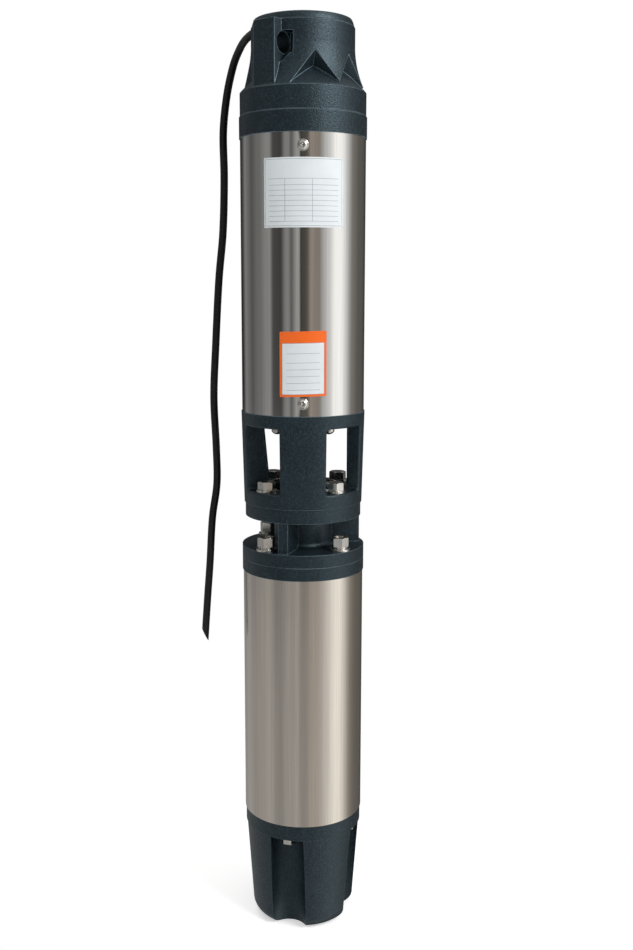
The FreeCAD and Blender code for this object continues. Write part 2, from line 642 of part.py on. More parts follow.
def make_motor_bracket():
    """Spool-shaped casting that joins the motor to the pump, with its studs and the shaft seal."""
    top = "(low_flange + waist_gap + high_flange)"
    high = "(low_flange + waist_gap)"
    lip = f"({top} - 1.5 - seal_height - 2)"
    spool = turned("spool_blank", [
        ("chamber_radius", "0"),
        (RING_RADIUS, "0"),
        (RING_RADIUS, "low_flange"),
        ("neck_radius + neck_round", "low_flange"),
        ("neck_radius", "low_flange + neck_round", "-neck_round"),
        ("neck_radius", high),
        (HIGH_FLANGE_RADIUS, high),
        (HIGH_FLANGE_RADIUS, top),
        ("pilot_radius", top),
        ("pilot_radius", f"{top} + pilot_height"),
        ("seat_radius", f"{top} + pilot_height"),
        ("seat_radius", f"{lip} + 2"),
        ("seat_radius - 1.5", f"{lip} + 2"),
        ("seat_radius - 1.5", lip),
        ("chamber_radius", lip),
    ])
    web = block("spool_web", "web_thickness", f"{WEB_REACH} - neck_radius + 4", "waist_gap + 2", WEB_REACH,
                "low_flange - 1")
    webs = around("spool_webs", web, ["web_angle", "web_angle + 120", "back_web_angle"])
    stud_hole = rod("spool_stud_hole", "stud_radius", "low_flange", STUD_CENTRE)
    bolt_hole = rod("spool_bolt_hole", "stud_radius", "high_flange", BOLT_CENTRE, high)
    gland_hole = spoke("spool_gland_hole", "lead_radius + gland_wall", "neck_radius", "chamber_radius - 1",
                       "gland_height")
    whole = join("spool_webbed", [spool, webs])
    finish(cut("motor_top_bracket", whole, around("spool_stud_holes", stud_hole, QUARTERS),
               around("spool_bolt_holes", bolt_hole, BOLT_ANGLES),
               around("spool_gland_holes", gland_hole, ["180"])),
           SPOOL)

    stack = "(washer_height + spring_washer_height + nut_height)"
    stud = rod("motor_stud", "stud_radius", f"upper_spigot / 2 + ring_height + low_flange + {stack} - 1.5",
               STUD_CENTRE)
    finish(around("motor_studs", stud, QUARTERS), f"{RING} - upper_spigot / 2")
    washer = cut("motor_washer", rod("motor_washer_disc", "washer_radius", "washer_height", STUD_CENTRE),
                 rod("motor_washer_hole", "stud_radius", "washer_height", STUD_CENTRE))
    finish(around("motor_washers", washer, QUARTERS), WAIST)
    springy = cut("motor_spring_washer",
                  rod("motor_spring_disc", "hex_flats / 2 + 0.6", "spring_washer_height", STUD_CENTRE),
                  rod("motor_spring_hole", "stud_radius", "spring_washer_height", STUD_CENTRE),
                  block("motor_spring_split", "1.2", "hex_flats", "spring_washer_height",
                        f"{STUD_CENTRE} + hex_flats"))
    finish(around("motor_spring_washers", springy, QUARTERS), f"{WAIST} + washer_height")
    blank = hexagon("motor_nut_hexagon", "hex_flats", "nut_height", STUD_CENTRE)
    nut = cut("motor_nut",
              common("motor_nut_blank", [blank, chamfer_cone("motor_nut", "nut_height", STUD_CENTRE)]),
              rod("motor_nut_hole", "stud_radius", "nut_height", STUD_CENTRE))
    finish(around("motor_nuts", nut, QUARTERS), f"{WAIST} + washer_height + spring_washer_height")

    finish(turned("seal_seat", [
        ("shaft_radius + 1", "0"),
        ("seat_radius", "0"),
        ("seat_radius", "seal_height"),
        ("shaft_radius + 1", "seal_height"),
    ]), f"{SUCTION} - 1.5 - seal_height")
    finish(turned("seal_ring", [
        ("shaft_radius", "0"),
        ("seat_radius - 2", "0"),
        ("seat_radius - 2", "seal_height + 2"),
        ("shaft_radius", "seal_height + 2"),
    ]), f"{SUCTION} - 1.5 - 2 * seal_height - 2 - 0.05")
    finish(turned("sand_slinger", [
        ("shaft_radius", "0"),
        ("seat_radius - 4", "0"),
        ("seat_radius + 6", "3"),
        ("seat_radius + 6", "5"),
        ("seat_radius - 5", "5"),
        ("seat_radius - 5", "9"),
        ("shaft_radius", "9"),
    ]), f"{SUCTION} + pilot_height + 1")


def chamfer_cone(name, height, out, flats="hex_flats"):
    """Cone that takes the top corners off a hexagon."""
    cone = DOC.addObject("Part::Cone", name + "_chamfer")
    bind(cone, "Radius1", f"({flats}) / 2 + ({height}) * {CHAMFER_SLOPE}")
    bind(cone, "Radius2", f"({flats}) / 2 * {CHAMFER_TOP}")
    bind(cone, "Height", height)
    return place(cone, "0", out)


def runs_radially(edge):
    """Tell whether an edge is level, straight and points at the pump's axis."""
    first = edge.Vertexes[0].Point
    last = edge.Vertexes[-1].Point
    return (abs(first.z - last.z) < TINY and abs(first.cross(last).z) < TINY
            and abs(math.hypot(first.x, first.y) - math.hypot(last.x, last.y)) > TINY)


def outlines_window(edge):
    """Tell whether an edge lies where an intake window breaks through the bracket's outer face."""
    low = value("suction_floor")
    taper = (value(BAND_RADIUS) - value(SUCTION_LOW_RADIUS)) / value(SUCTION_HEIGHT)
    along = [edge.valueAt(edge.FirstParameter + part * (edge.LastParameter - edge.FirstParameter) / 4)
             for part in range(5)]
    return all(abs(math.hypot(point.x, point.y) - value(SUCTION_LOW_RADIUS) - taper * point.z) < TINY
               and low - TINY < point.z < low + value("window_height") + TINY for point in along)


def make_suction_bracket():
    """Open casting that takes the water in, with its bolts and the inlet plate."""
    top_ring = "(suction_floor + window_height)"
    shoulder = f"({SUCTION_HEIGHT})"
    wall = turned("suction_wall", [
        ("pilot_radius + spigot_gap", "0"),
        (SUCTION_LOW_RADIUS, "0"),
        (BAND_RADIUS, shoulder),
        (SPIGOT, shoulder),
        (SPIGOT, f"{shoulder} + bracket_spigot"),
        (COLUMN_RADIUS, f"{shoulder} + bracket_spigot"),
        (COLUMN_RADIUS, f"{top_ring} + inlet_plate_height + inlet_flange_height"),
        ("eye_radius + 6", f"{top_ring} + inlet_plate_height + inlet_flange_height"),
        ("eye_radius + 6", f"{top_ring} + inlet_plate_height"),
        (COLUMN_RADIUS, f"{top_ring} + inlet_plate_height"),
        (COLUMN_RADIUS, "suction_floor"),
        ("pilot_radius + spigot_gap", "suction_floor"),
    ])
    gusset = turned("suction_gusset_blank", [
        (GUSSET_LOW_RADIUS, "suction_floor"),
        (f"{COLUMN_RADIUS} + 2", "suction_floor"),
        (f"{COLUMN_RADIUS} + 2", top_ring),
        (GUSSET_TOP_RADIUS, top_ring),
    ], "2 * column_half_angle")
    gusset = around("suction_gusset", gusset, ["180"])
    window = turned("suction_window_blank", [
        (f"{COLUMN_RADIUS} - window_round", "suction_floor"),
        (f"{BAND_RADIUS} + window_round", "suction_floor"),
        (f"{BAND_RADIUS} + window_round", top_ring),
        (f"{COLUMN_RADIUS} - window_round", top_ring),
    ], "90 - 2 * column_half_angle")
    window = rounded("suction_window", window, "window_round", runs_radially)
    bolt_hole = rod("suction_bolt_hole", "stud_radius", "suction_floor", BOLT_CENTRE)
    screw_hole = rod("suction_screw_hole", "inlet_screw_radius", "inlet_flange_height", INLET_SCREW_CENTRE,
                     f"{top_ring} + inlet_plate_height")
    shell_hole = spoke("suction_shell_hole", "shell_screw_radius", "screw_length",
                       "shell_radius - screw_hole_depth", f"{shoulder} + screw_edge")
    guard_hole = rod_at_back("suction_guard_hole", f"{shoulder} - guard_foot")
    screw_angles = [f"{half_turn} {sign} inlet_screw_angle" for half_turn in ("0", "180") for sign in "+-"]
    open_wall = cut("suction_open_wall", wall, around("suction_windows", window, QUARTERS))
    open_wall = rounded("suction_rounded_wall", open_wall, "window_edge", outlines_window)
    pierced = cut("suction_pierced", open_wall, around("suction_bolt_holes", bolt_hole, BOLT_ANGLES),
                  around("suction_screw_holes", screw_hole, screw_angles),
                  around("suction_shell_holes", shell_hole, SHELL_SCREW_ANGLES), guard_hole)
    finish(join("suction_bracket", [pierced, gusset]), SUCTION)

    washer = cut("bracket_washer",
                 rod("bracket_washer_disc", "washer_radius", "washer_height", BOLT_CENTRE),
                 rod("bracket_washer_hole", "stud_radius", "washer_height", BOLT_CENTRE))
    finish(around("bracket_washers", washer, BOLT_ANGLES), f"{SUCTION} + suction_floor")
    blank = hexagon("bracket_bolt_hexagon", "hex_flats", "head_height", BOLT_CENTRE)
    head = common("bracket_bolt_head", [blank, chamfer_cone("bracket_bolt", "head_height", BOLT_CENTRE)])
    length = "(washer_height + suction_floor + high_flange)"
    shank = rod("bracket_bolt_shank", "stud_radius", f"{length} + head_height / 2", BOLT_CENTRE, f"-{length}")
    finish(around("bracket_bolts", join("bracket_bolt", [head, shank]), BOLT_ANGLES),
           f"{SUCTION} + suction_floor + washer_height")

    plate = ring("inlet_plate_blank", "eye_radius", COLUMN_RADIUS, "0", "inlet_plate_height")
    plate_hole = rod("inlet_plate_hole", "inlet_screw_radius", "inlet_plate_height", INLET_SCREW_CENTRE)
    finish(cut("inlet_plate", plate, around("inlet_plate_holes", plate_hole, screw_angles)),
           f"{SUCTION} + {top_ring}")
    pan = DOC.addObject("Part::Sphere", "inlet_screw_dome")
    bind(pan, "Radius", "pan_radius * 1.15")
    place(pan, "-(pan_height - pan_radius * 1.15)", INLET_SCREW_CENTRE)
    collar = rod("inlet_screw_collar", "pan_radius", "pan_height", INLET_SCREW_CENTRE, "-pan_height")
    head = common("inlet_screw_head", [pan, collar])
    shank = rod("inlet_screw_shank", "inlet_screw_radius",
                "inlet_plate_height + inlet_flange_height + pan_height / 2",
                INLET_SCREW_CENTRE, "-pan_height / 2")
    finish(around("inlet_screws", join("inlet_screw", [head, shank]), screw_angles), f"{SUCTION} + {top_ring}")


def rod_at_back(name, up):
    """Pair of small holes at the back for the guard's screws."""
    side = "(guard_inner_width / 2 + guard_wall + guard_flap / 2)"
    holes = []
    for word, sign in (("left", "-"), ("right", "")):
        hole = spoke(f"{name}_{word}", "guard_screw_radius", "guard_screw_length + 2",
                     f"{GUARD_STAND} - guard_screw_length", up)
        bind(hole, "Placement.Base.x", f"{sign}{side}")
        holes.append(hole)
    return around(name, join(f"{name}_pair", holes), ["180"])


def make_coupling():
    """Sleeve that joins the motor shaft to the pump shaft."""
    half = "(coupling_length / 2)"
    finish(turned("coupling_sleeve", [
        ("shaft_radius", half),
        ("shaft_radius + running_gap", half),
        ("shaft_radius + running_gap", "0"),
        ("coupling_radius - 1", "0"),
        ("coupling_radius", "1"),
        ("coupling_radius", "coupling_length - 1"),
        ("coupling_radius - 1", "coupling_length"),
        ("shaft_radius", "coupling_length"),
    ]), f"{SHAFT_TOP} - {half}")


def impeller_vane():
    """One bent vane between the shrouds of an impeller, at the front."""
    middle = "(vane_wall / 2)"
    foot = f"({PASSAGE} - 0.5)"
    bend = cut("vane_bend",
               rod("vane_outside", f"vane_radius + {middle}", "impeller_width + 1", "vane_offset", foot),
               rod("vane_inside", f"vane_radius - {middle}", "impeller_width + 1", "vane_offset", foot))
    passage = ring("vane_passage", "sleeve_radius + 3", f"{IMPELLER_RADIUS} - 0.5", foot,
                   f"{HIGH_SHROUD} + 0.5")
    half_space = block("vane_side", f"2 * {IMPELLER_RADIUS}", f"4 * {IMPELLER_RADIUS}", "impeller_width + 1",
                       f"2 * {IMPELLER_RADIUS}", foot, IMPELLER_RADIUS)
    return common("impeller_vane", [bend, passage, half_space])


def make_stages():
    """Stage bowls, impellers and the running parts between them."""
    count = int(value("stage_count"))
    vanes = int(value("impeller_vanes"))
    returns = int(value("diffuser_vanes"))
    vane = impeller_vane()
    inner = f"({BUSH_RADIUS} + 4)"
    outer = f"({BOWL_RADIUS} - bowl_wall / 2)"
    run = f"(sqrt({outer} ^ 2 - ({inner} * sin(diffuser_lean)) ^ 2) - {inner} * cos(diffuser_lean))"
    for number in range(1, count + 1):
        foot = f"({STAGES} + {number - 1} * stage_height)"
        bowl = turned(f"bowl_{number}_blank", [
            (WEAR_RADIUS, "0"),
            (BOWL_RADIUS, "0"),
            (BOWL_RADIUS, "stage_height"),
            (f"{BOWL_RADIUS} - bowl_wall", "stage_height"),
            (f"{BOWL_RADIUS} - bowl_wall", "bowl_cover"),
            (WEAR_RADIUS, "bowl_cover"),
        ])
        plate = turned(f"bowl_{number}_plate", [
            (BUSH_RADIUS, PLATE),
            (DIFFUSER_RADIUS, PLATE),
            (DIFFUSER_RADIUS, f"{PLATE} + diffuser_plate"),
            (f"{BUSH_RADIUS} + 4", f"{PLATE} + diffuser_plate"),
            (f"{BUSH_RADIUS} + 4", f"{PLATE} + 4 * diffuser_plate"),
            (BUSH_RADIUS, f"{PLATE} + 4 * diffuser_plate"),
        ])
        fin = block(f"bowl_{number}_fin", "vane_wall", run, f"stage_height - {PLATE} - 1", "0", f"{PLATE} + 1")
        bind(fin, "Placement.Base.y", f"-{inner} - {run} * cos(diffuser_lean)")
        bind(fin, "Placement.Base.x", f"{run} * sin(diffuser_lean)")
        bind(fin, "Placement.Rotation.Angle", "diffuser_lean")
        fins = around(f"bowl_{number}_fins", fin, even(returns))
        finish(join(f"stage_bowl_{number}", [bowl, plate, fins]), foot)

        wheel = turned(f"impeller_{number}_low", [
            ("neck_outer_radius - 3", IMPELLER_FOOT),
            ("neck_outer_radius", IMPELLER_FOOT),
            ("neck_outer_radius", LOW_SHROUD),
            (IMPELLER_RADIUS, LOW_SHROUD),
            (IMPELLER_RADIUS, PASSAGE),
            ("neck_outer_radius - 3", PASSAGE),
        ])
        back = turned(f"impeller_{number}_high", [
            ("shaft_radius", IMPELLER_FOOT),
            ("sleeve_radius", IMPELLER_FOOT),
            ("sleeve_radius", f"{PASSAGE} - shroud_wall"),
            ("sleeve_radius + impeller_width + shroud_wall", HIGH_SHROUD, "-(impeller_width + shroud_wall)"),
            (IMPELLER_RADIUS, HIGH_SHROUD),
            (IMPELLER_RADIUS, HUB_TOP),
            ("shaft_radius", HUB_TOP),
        ])
        blades = around(f"impeller_{number}_vanes", vane, even(vanes))
        finish(join(f"impeller_{number}", [wheel, back, blades]), foot)

    wear = ring("wear_ring", "neck_outer_radius + wear_gap", WEAR_RADIUS, "0", "bowl_cover")
    finish(stacked("wear_rings", wear, count, "stage_height"), STAGES)
    bush = ring("bowl_bush", "sleeve_radius + running_gap", BUSH_RADIUS, "0", "4 * diffuser_plate")
    finish(stacked("bowl_bushes", bush, count, "stage_height"), f"{STAGES} + {PLATE}")
    sleeve = ring("spacer_sleeve", "shaft_radius", "sleeve_radius", "0",
                  f"stage_height - {HUB_TOP} + {IMPELLER_FOOT}")
    top_foot = f"(stage_count * stage_height - {HUB_TOP} + {IMPELLER_FOOT})"
    top_sleeve = ring("top_sleeve", "shaft_radius", "sleeve_radius", top_foot, f"{top_foot} + {TOP_HUB} + 2")
    group = DOC.addObject("Part::Compound", "spacer_sleeves")
    group.Links = [stacked("stage_sleeves", sleeve, count, "stage_height"), top_sleeve]
    finish(group, f"{STAGES} + {HUB_TOP}")


def make_pump_shaft():
    """Pump shaft with its top bearing and nut."""
    hub = TOP_HUB
    nut_foot = f"({SPIDER} + {IMPELLER_FOOT})"
    rim = turned("spider_rim", [
        (f"{BOWL_RADIUS} - spider_rim", "0"),
        (BOWL_RADIUS, "0"),
        (BOWL_RADIUS, "spider_height"),
        (f"{BOWL_RADIUS} - spider_rim", "spider_height"),
    ])
    boss_radius = "(sleeve_radius + bush_wall + spider_hub_wall)"
    boss = ring("spider_hub", BUSH_RADIUS, boss_radius, "0", hub)
    arm = block("spider_arm", "spider_arm", f"{BOWL_RADIUS} - {boss_radius}", hub,
                f"{BOWL_RADIUS} - spider_rim / 2 + 0.5")
    arms = around("spider_arms", arm, even(3, "60"))
    finish(join("top_bearing_spider", [rim, boss, arms]), SPIDER)
    finish(ring("top_bush", "sleeve_radius + running_gap", BUSH_RADIUS, "0", hub), SPIDER)
    shaft_length = f"({nut_foot} + {hub} + 2 + nut_height + 3 - {SHAFT_TOP})"
    finish(turned("pump_shaft", [
        ("0", "0"),
        ("shaft_radius - 1", "0"),
        ("shaft_radius", "1"),
        ("shaft_radius", f"{shaft_length} - 1"),
        ("shaft_radius - 1", shaft_length),
        ("0", shaft_length),
    ]), f"{SHAFT_TOP} + 0.5")
    blank = hexagon("shaft_nut_hexagon", "2 * hex_flats", "nut_height")
    cone = chamfer_cone("shaft_nut", "nut_height", "0", "2 * hex_flats")
    nut = cut("shaft_nut", common("shaft_nut_blank", [blank, cone]),
              rod("shaft_nut_hole", "shaft_radius", "nut_height"))
    finish(nut, f"{nut_foot} + {hub} + 2")


def make_pump_shell():
    """Upper stainless shell and the screws that hold it to the castings."""
    tube = ring("pump_shell_tube", "shell_radius - shell_wall", "shell_radius", "0", PUMP_LENGTH)
    low_hole = spoke("pump_shell_low_hole", "shell_screw_radius", "8", "shell_radius - 6", "screw_edge")
    high_hole = spoke("pump_shell_high_hole", "shell_screw_radius", "8", "shell_radius - 6",
                      f"{PUMP_LENGTH} - screw_edge")
    finish(cut("pump_shell", tube, around("pump_shell_low_holes", low_hole, SHELL_SCREW_ANGLES),
               around("pump_shell_high_holes", high_hole, SHELL_SCREW_ANGLES)), PUMP_SHELL)

    face = "(shell_radius + 0.1)"
    flange = spoke("shell_screw_flange", "button_radius", "screw_flange", face, "0")
    dome = DOC.addObject("Part::Sphere", "shell_screw_dome")
    bind(dome, "Radius", "button_radius")
    place(dome, "0", f"{face} + button_height - button_radius")
    barrel = spoke("shell_screw_barrel", "button_radius - 1", "button_height", face, "0")
    button = common("shell_screw_button", [dome, barrel])
    shank = spoke("shell_screw_shank", "shell_screw_radius", "screw_length + button_height / 2",
                  f"{face} - screw_length", "0")
    screw = join("shell_screw", [flange, button, shank])
    low = around("shell_screws_low", screw, SHELL_SCREW_ANGLES)
    high = around("shell_screws_high", screw, SHELL_SCREW_ANGLES)
    bind(high, "Placement.Base.z", f"{PUMP_LENGTH} - 2 * screw_edge")
    group = DOC.addObject("Part::Compound", "shell_screws")
    group.Links = [low, high]
    finish(group, f"{PUMP_SHELL} + screw_edge")


def wedge_cutter(angle, floor):
    """Notch with two upright walls that meet in a sloping edge, open outwards."""
    bands = value(BANDS)
    inner = value(POCKET_FLOOR)
    low = bands + value("pocket_floor_height")
    high = bands + value("pocket_apex_height")
    lean = (value(HEAD_CYLINDER) - inner) / (high - low)
    spread = math.tan(math.radians(value("pocket_half_angle")))
    foot = inner - lean * (low - bands)
    top = bands + value("cylinder_height") + value("head_lip_height")
    far = 4 * value(BAND_RADIUS)
    corners = [FreeCAD.Vector(0, -foot, bands),
               FreeCAD.Vector(far * spread, -foot - far, bands),
               FreeCAD.Vector(-far * spread, -foot - far, bands)]
    face = Part.Face(Part.makePolygon(corners + [corners[0]]))
    notch = face.extrude(FreeCAD.Vector(0, -lean * (top - bands), top - bands))
    notch = notch.cut(floor)
    notch.rotate(FreeCAD.Vector(0, 0, 0), FreeCAD.Vector(0, 0, 1), angle)
    return notch


def pocket_floor():
    """Cone that closes the bottom of the pockets."""
    bands = value(BANDS)
    inner = value(POCKET_FLOOR)
    outer = value(FLARE_RADIUS) + 0.3
    rise = value("pocket_floor_height")
    slope = (outer - inner) / rise
    top = outer / slope
    return Part.makeCone(outer, 0, top, FreeCAD.Vector(0, 0, bands))


def recess_cutter(side):
    """Recess beside a rope eye, with a slanting lower edge; side is +1 or -1."""
    bands = value(BANDS)
    near = value("lug_half_width")
    far = near + value("recess_width")
    depth = value(RECESS_FLOOR)
    top = bands + value("recess_top")
    step = bands + value("recess_step")
    low = bands + value("recess_low")
    bend = near + value("recess_width") * 0.2
    corners = [(near, low), (bend, low), (far, step), (far, top), (near, top)]
    points = [FreeCAD.Vector(side * across, -depth, up) for across, up in corners]
    face = Part.Face(Part.makePolygon(points + [points[0]]))
    block_shape = face.extrude(FreeCAD.Vector(0, -depth, 0))
    upright = [edge for edge in block_shape.Edges
               if abs(edge.Vertexes[0].X - side * far) < 0.01 and abs(edge.Vertexes[-1].X - side * far) < 0.01
               and abs(edge.Vertexes[0].Z - edge.Vertexes[-1].Z) < 0.01
               and abs(edge.Vertexes[0].Y - edge.Vertexes[-1].Y) > 1]
    return block_shape.makeFillet(2.5, upright)


def make_head():
    """Discharge head: two bands, a flared cylinder with notched pockets and two rope eyes."""
    bands = BANDS
    shoulder = f"({bands} + cylinder_height)"
    top = f"({shoulder} + head_lip_height)"
    blank = turned("head_blank", [
        (f"{SPIGOT} - 9", "-head_spigot"),
        (SPIGOT, "-head_spigot"),
        (SPIGOT, "0"),
        (BAND_RADIUS, "0"),
        (BAND_RADIUS, "low_band"),
        ("shell_radius", "low_band + 1"),
        ("shell_radius", f"{bands} - 1"),
        (FLARE_RADIUS, bands),
        (HEAD_CYLINDER, f"{bands} + flare_height", "-flare_bend"),
        (HEAD_CYLINDER, shoulder),
        (f"{HEAD_CYLINDER} - 1", f"{shoulder} + 1"),
        (HEAD_LIP_RADIUS, top, "20"),
        ("outlet_radius + 1.5", top),
        ("outlet_radius", f"{top} - 1.5"),
        ("outlet_radius", f"{top} - outlet_depth"),
        ("valve_chamber_radius", f"{top} - outlet_depth"),
        ("valve_chamber_radius", "guide_rise + guide_height + circlip_height"),
        ("valve_chamber_radius + circlip_depth", "guide_rise + guide_height + circlip_height"),
        ("valve_chamber_radius + circlip_depth", "guide_rise + guide_height"),
        ("valve_chamber_radius", "guide_rise + guide_height"),
        ("valve_chamber_radius", "0"),
        ("valve_seat_radius", "0"),
        ("valve_seat_radius", "-valve_seat_height"),
        (f"{SPIGOT} - 9", "-head_spigot + 4"),
    ])
    DOC.recompute()
    shape = blank.Shape.copy()
    floor = pocket_floor()
    first = value("pocket_angle")
    lug_angles = [value("lug_angle"), value("lug_angle") + 180]
    for number in range(8):
        angle = first + 45 * number
        if min(abs((angle - lug + 180) % 360 - 180) for lug in lug_angles) > 22.5:
            shape = shape.cut(wedge_cutter(angle, floor))
    low = value(bands)
    height = value("cylinder_height")
    across = 2 * value("lug_half_width")
    reach = value(LUG_RADIUS)
    bore = Part.makeCylinder(value("outlet_radius") + 4, height + low)
    for angle in lug_angles:
        turn = (FreeCAD.Vector(0, 0, 0), FreeCAD.Vector(0, 0, 1), angle)
        lug = Part.makeBox(across, 2 * reach, height, FreeCAD.Vector(-across / 2, -2 * reach, low))
        lug = lug.common(Part.makeCylinder(reach, height, FreeCAD.Vector(0, 0, low))).cut(bore)
        hole_up = low + value("eye_hole_height")
        hole = Part.makeCylinder(value("eye_hole_radius"), 4 * across,
                                 FreeCAD.Vector(-2 * across, -value(EYE_CENTRE), hole_up),
                                 FreeCAD.Vector(1, 0, 0))
        hole = hole.common(Part.makeBox(across + 2 * value("recess_width"), 4 * reach, 4 * height,
                                        FreeCAD.Vector(-across / 2 - value("recess_width"), -2 * reach, 0)))
        cutters = [recess_cutter(1), recess_cutter(-1), hole]
        for piece in [lug] + cutters:
            piece.rotate(*turn)
        shape = shape.fuse(lug)
        for cutter in cutters:
            shape = shape.cut(cutter)
    hole = rod_at_back("head_guard_hole", "(low_band / 2)")
    shell_hole = spoke("head_shell_hole", "shell_screw_radius", "screw_length",
                       "shell_radius - screw_hole_depth", "-screw_edge")
    shell_holes = around("head_shell_holes", shell_hole, SHELL_SCREW_ANGLES)
    DOC.recompute()
    shape = shape.cut(hole.Shape).cut(shell_holes.Shape)
    casting = DOC.addObject("Part::Feature", "discharge_head")
    casting.Shape = shape.Solids[0] if len(shape.Solids) == 1 else shape
    finish(casting, HEAD)


def make_valve():
    """Spring-loaded check valve in the head."""
    seat_top = HEAD
    finish(turned("valve_seat", [
        ("valve_bore", "0"),
        ("valve_seat_radius", "0"),
        ("valve_seat_radius", "valve_seat_height"),
        ("valve_bore + 1.5", "valve_seat_height"),
        ("valve_bore", "valve_seat_height - 1.5"),
    ]), VALVE_SEAT)
    lift = "(seal_wall + 0.05)"
    finish(ring("valve_seal", "valve_bore - 2", "valve_radius", "0", "seal_wall"), f"{seat_top} + 0.05")
    stem_top = "(valve_height + valve_stem_length)"
    finish(turned("valve_disc", [
        ("0", "-seal_wall"),
        ("valve_bore - 2", "-seal_wall"),
        ("valve_bore - 2", "0"),
        ("valve_radius", "0"),
        ("valve_radius", "valve_height - 2"),
        ("valve_radius - 2", "valve_height"),
        ("valve_stem_radius", "valve_height"),
        ("valve_stem_radius", f"{stem_top} - 1"),
        ("valve_stem_radius - 1", stem_top),
        ("0", stem_top),
    ]), f"{seat_top} + {lift}")
    rim = ring("guide_rim", "valve_chamber_radius - guide_rim", "valve_chamber_radius", "0", "guide_height")
    hub = ring("guide_hub", "valve_stem_radius + running_gap", "spring_radius + guide_rim", "0", "guide_height")
    arm = block("guide_arm", "guide_arm", "valve_chamber_radius - spring_radius - guide_rim - 1",
                "guide_height", "valve_chamber_radius - guide_rim / 2")
    arms = around("guide_arms", arm, even(3))
    finish(join("valve_guide", [rim, hub, arms]), f"{seat_top} + guide_rise")
    finish(cut("guide_circlip",
               ring("circlip_ring", "valve_chamber_radius - circlip_wall",
                    "valve_chamber_radius + circlip_depth", "0", "circlip_height"),
               block("circlip_gap", "circlip_gap", "circlip_gap", "circlip_height",
                     "valve_chamber_radius + circlip_gap / 2")),
           f"{seat_top} + guide_rise + guide_height")

    room = f"(guide_rise - valve_height - {lift})"
    helix = DOC.addObject("Part::Helix", "spring_path")
    bind(helix, "Radius", "spring_radius")
    bind(helix, "Height", f"{room} - 2 * spring_wire - 0.2")
    bind(helix, "Pitch", f"({room} - 2 * spring_wire - 0.2) / spring_turns")
    DOC.recompute()
    start = FreeCAD.Vector(value("spring_radius"), 0, 0)
    wire = Part.Wire(helix.Shape.Edges)
    section = Part.Wire(Part.makeCircle(value("spring_wire"), start, FreeCAD.Vector(0, 1, 0)))
    spring = DOC.addObject("Part::Feature", "valve_spring")
    spring.Shape = wire.makePipeShell([section], True, True)
    finish(spring, f"{seat_top} + {lift} + valve_height + spring_wire + 0.1")


def round_route(points, bends):
    """Wire of straight runs joined by tangent arcs, and its length."""
    edges = []
    start = points[0]
    length = 0
    for index in range(1, len(points) - 1):
        before = points[index - 1] - points[index]
        after = points[index + 1] - points[index]
        turn = math.pi - before.getAngle(after)
        back = bends[index - 1] * math.tan(turn / 2)
        enter = points[index] + FreeCAD.Vector(before).normalize() * back
        leave = points[index] + FreeCAD.Vector(after).normalize() * back
        bisector = (FreeCAD.Vector(before).normalize() + FreeCAD.Vector(after).normalize()).normalize()
        middle = points[index] + bisector * (bends[index - 1] / math.cos(turn / 2) - bends[index - 1])
        edges.append(Part.LineSegment(start, enter).toShape())
        edges.append(Part.Arc(enter, middle, leave).toShape())
        start = leave
    edges.append(Part.LineSegment(start, points[-1]).toShape())
    for edge in edges:
        length += edge.Length
    return Part.Wire(edges), length


def limp_bends(points):
    """Arc radius at each inner point: 0.45 of the shorter run over the tangent of half the turn."""
    bends = []
    for index in range(1, len(points) - 1):
        before = points[index - 1] - points[index]
        after = points[index + 1] - points[index]
        turn = math.pi - before.getAngle(after)
        bends.append(0.45 * min(before.Length, after.Length) / math.tan(turn / 2))
    return bends


def tube(name, points):
    """Round lead along a route of points."""
    bends = limp_bends(points)
    path, length = round_route(points, bends)
    radius = value("lead_radius")
    along = points[1] - points[0]
    section = Part.Wire(Part.makeCircle(radius, points[0], along))
    shape = path.makePipeShell([section], True, False)
    lead = DOC.addObject("Part::Feature", name)
    lead.Shape = shape
    ideal = math.pi * radius * radius * length
    print(f"{name}: length {length:.0f}, volume/ideal {shape.Volume / ideal:.4f}, bends "
          + " ".join(f"{bend:.0f}" for bend in bends))
    return lead


# Route of the free end of the lead, as it hangs beside the pump: x, y, height
TAIL_ROUTE = [
    (0, 77.5, 975),
    (2.5, 77.3, 997),
    (6.5, 76, 1021),
    (-3, 74, 1050.5),
    (-28.5, 71, 1069),
    (-59.5, 67.5, 1069),
    (-85, 64, 1050.5),
    (-94.5, 61, 1021),
    (-97, 58.5, 987),
    (-96.5, 56.5, 945),
    (-94, 55, 893),
    (-97, 53, 832),
    (-102, 51.5, 775),
    (-106.5, 50, 700),
    (-110, 48.5, 636),
    (-107, 47, 575),
    (-106.5, 46, 530),
    (-113, 44.5, 487),
    (-117.5, 43, 432),
    (-120.5, 41.5, 386),
    (-124.5, 40, 332),
]


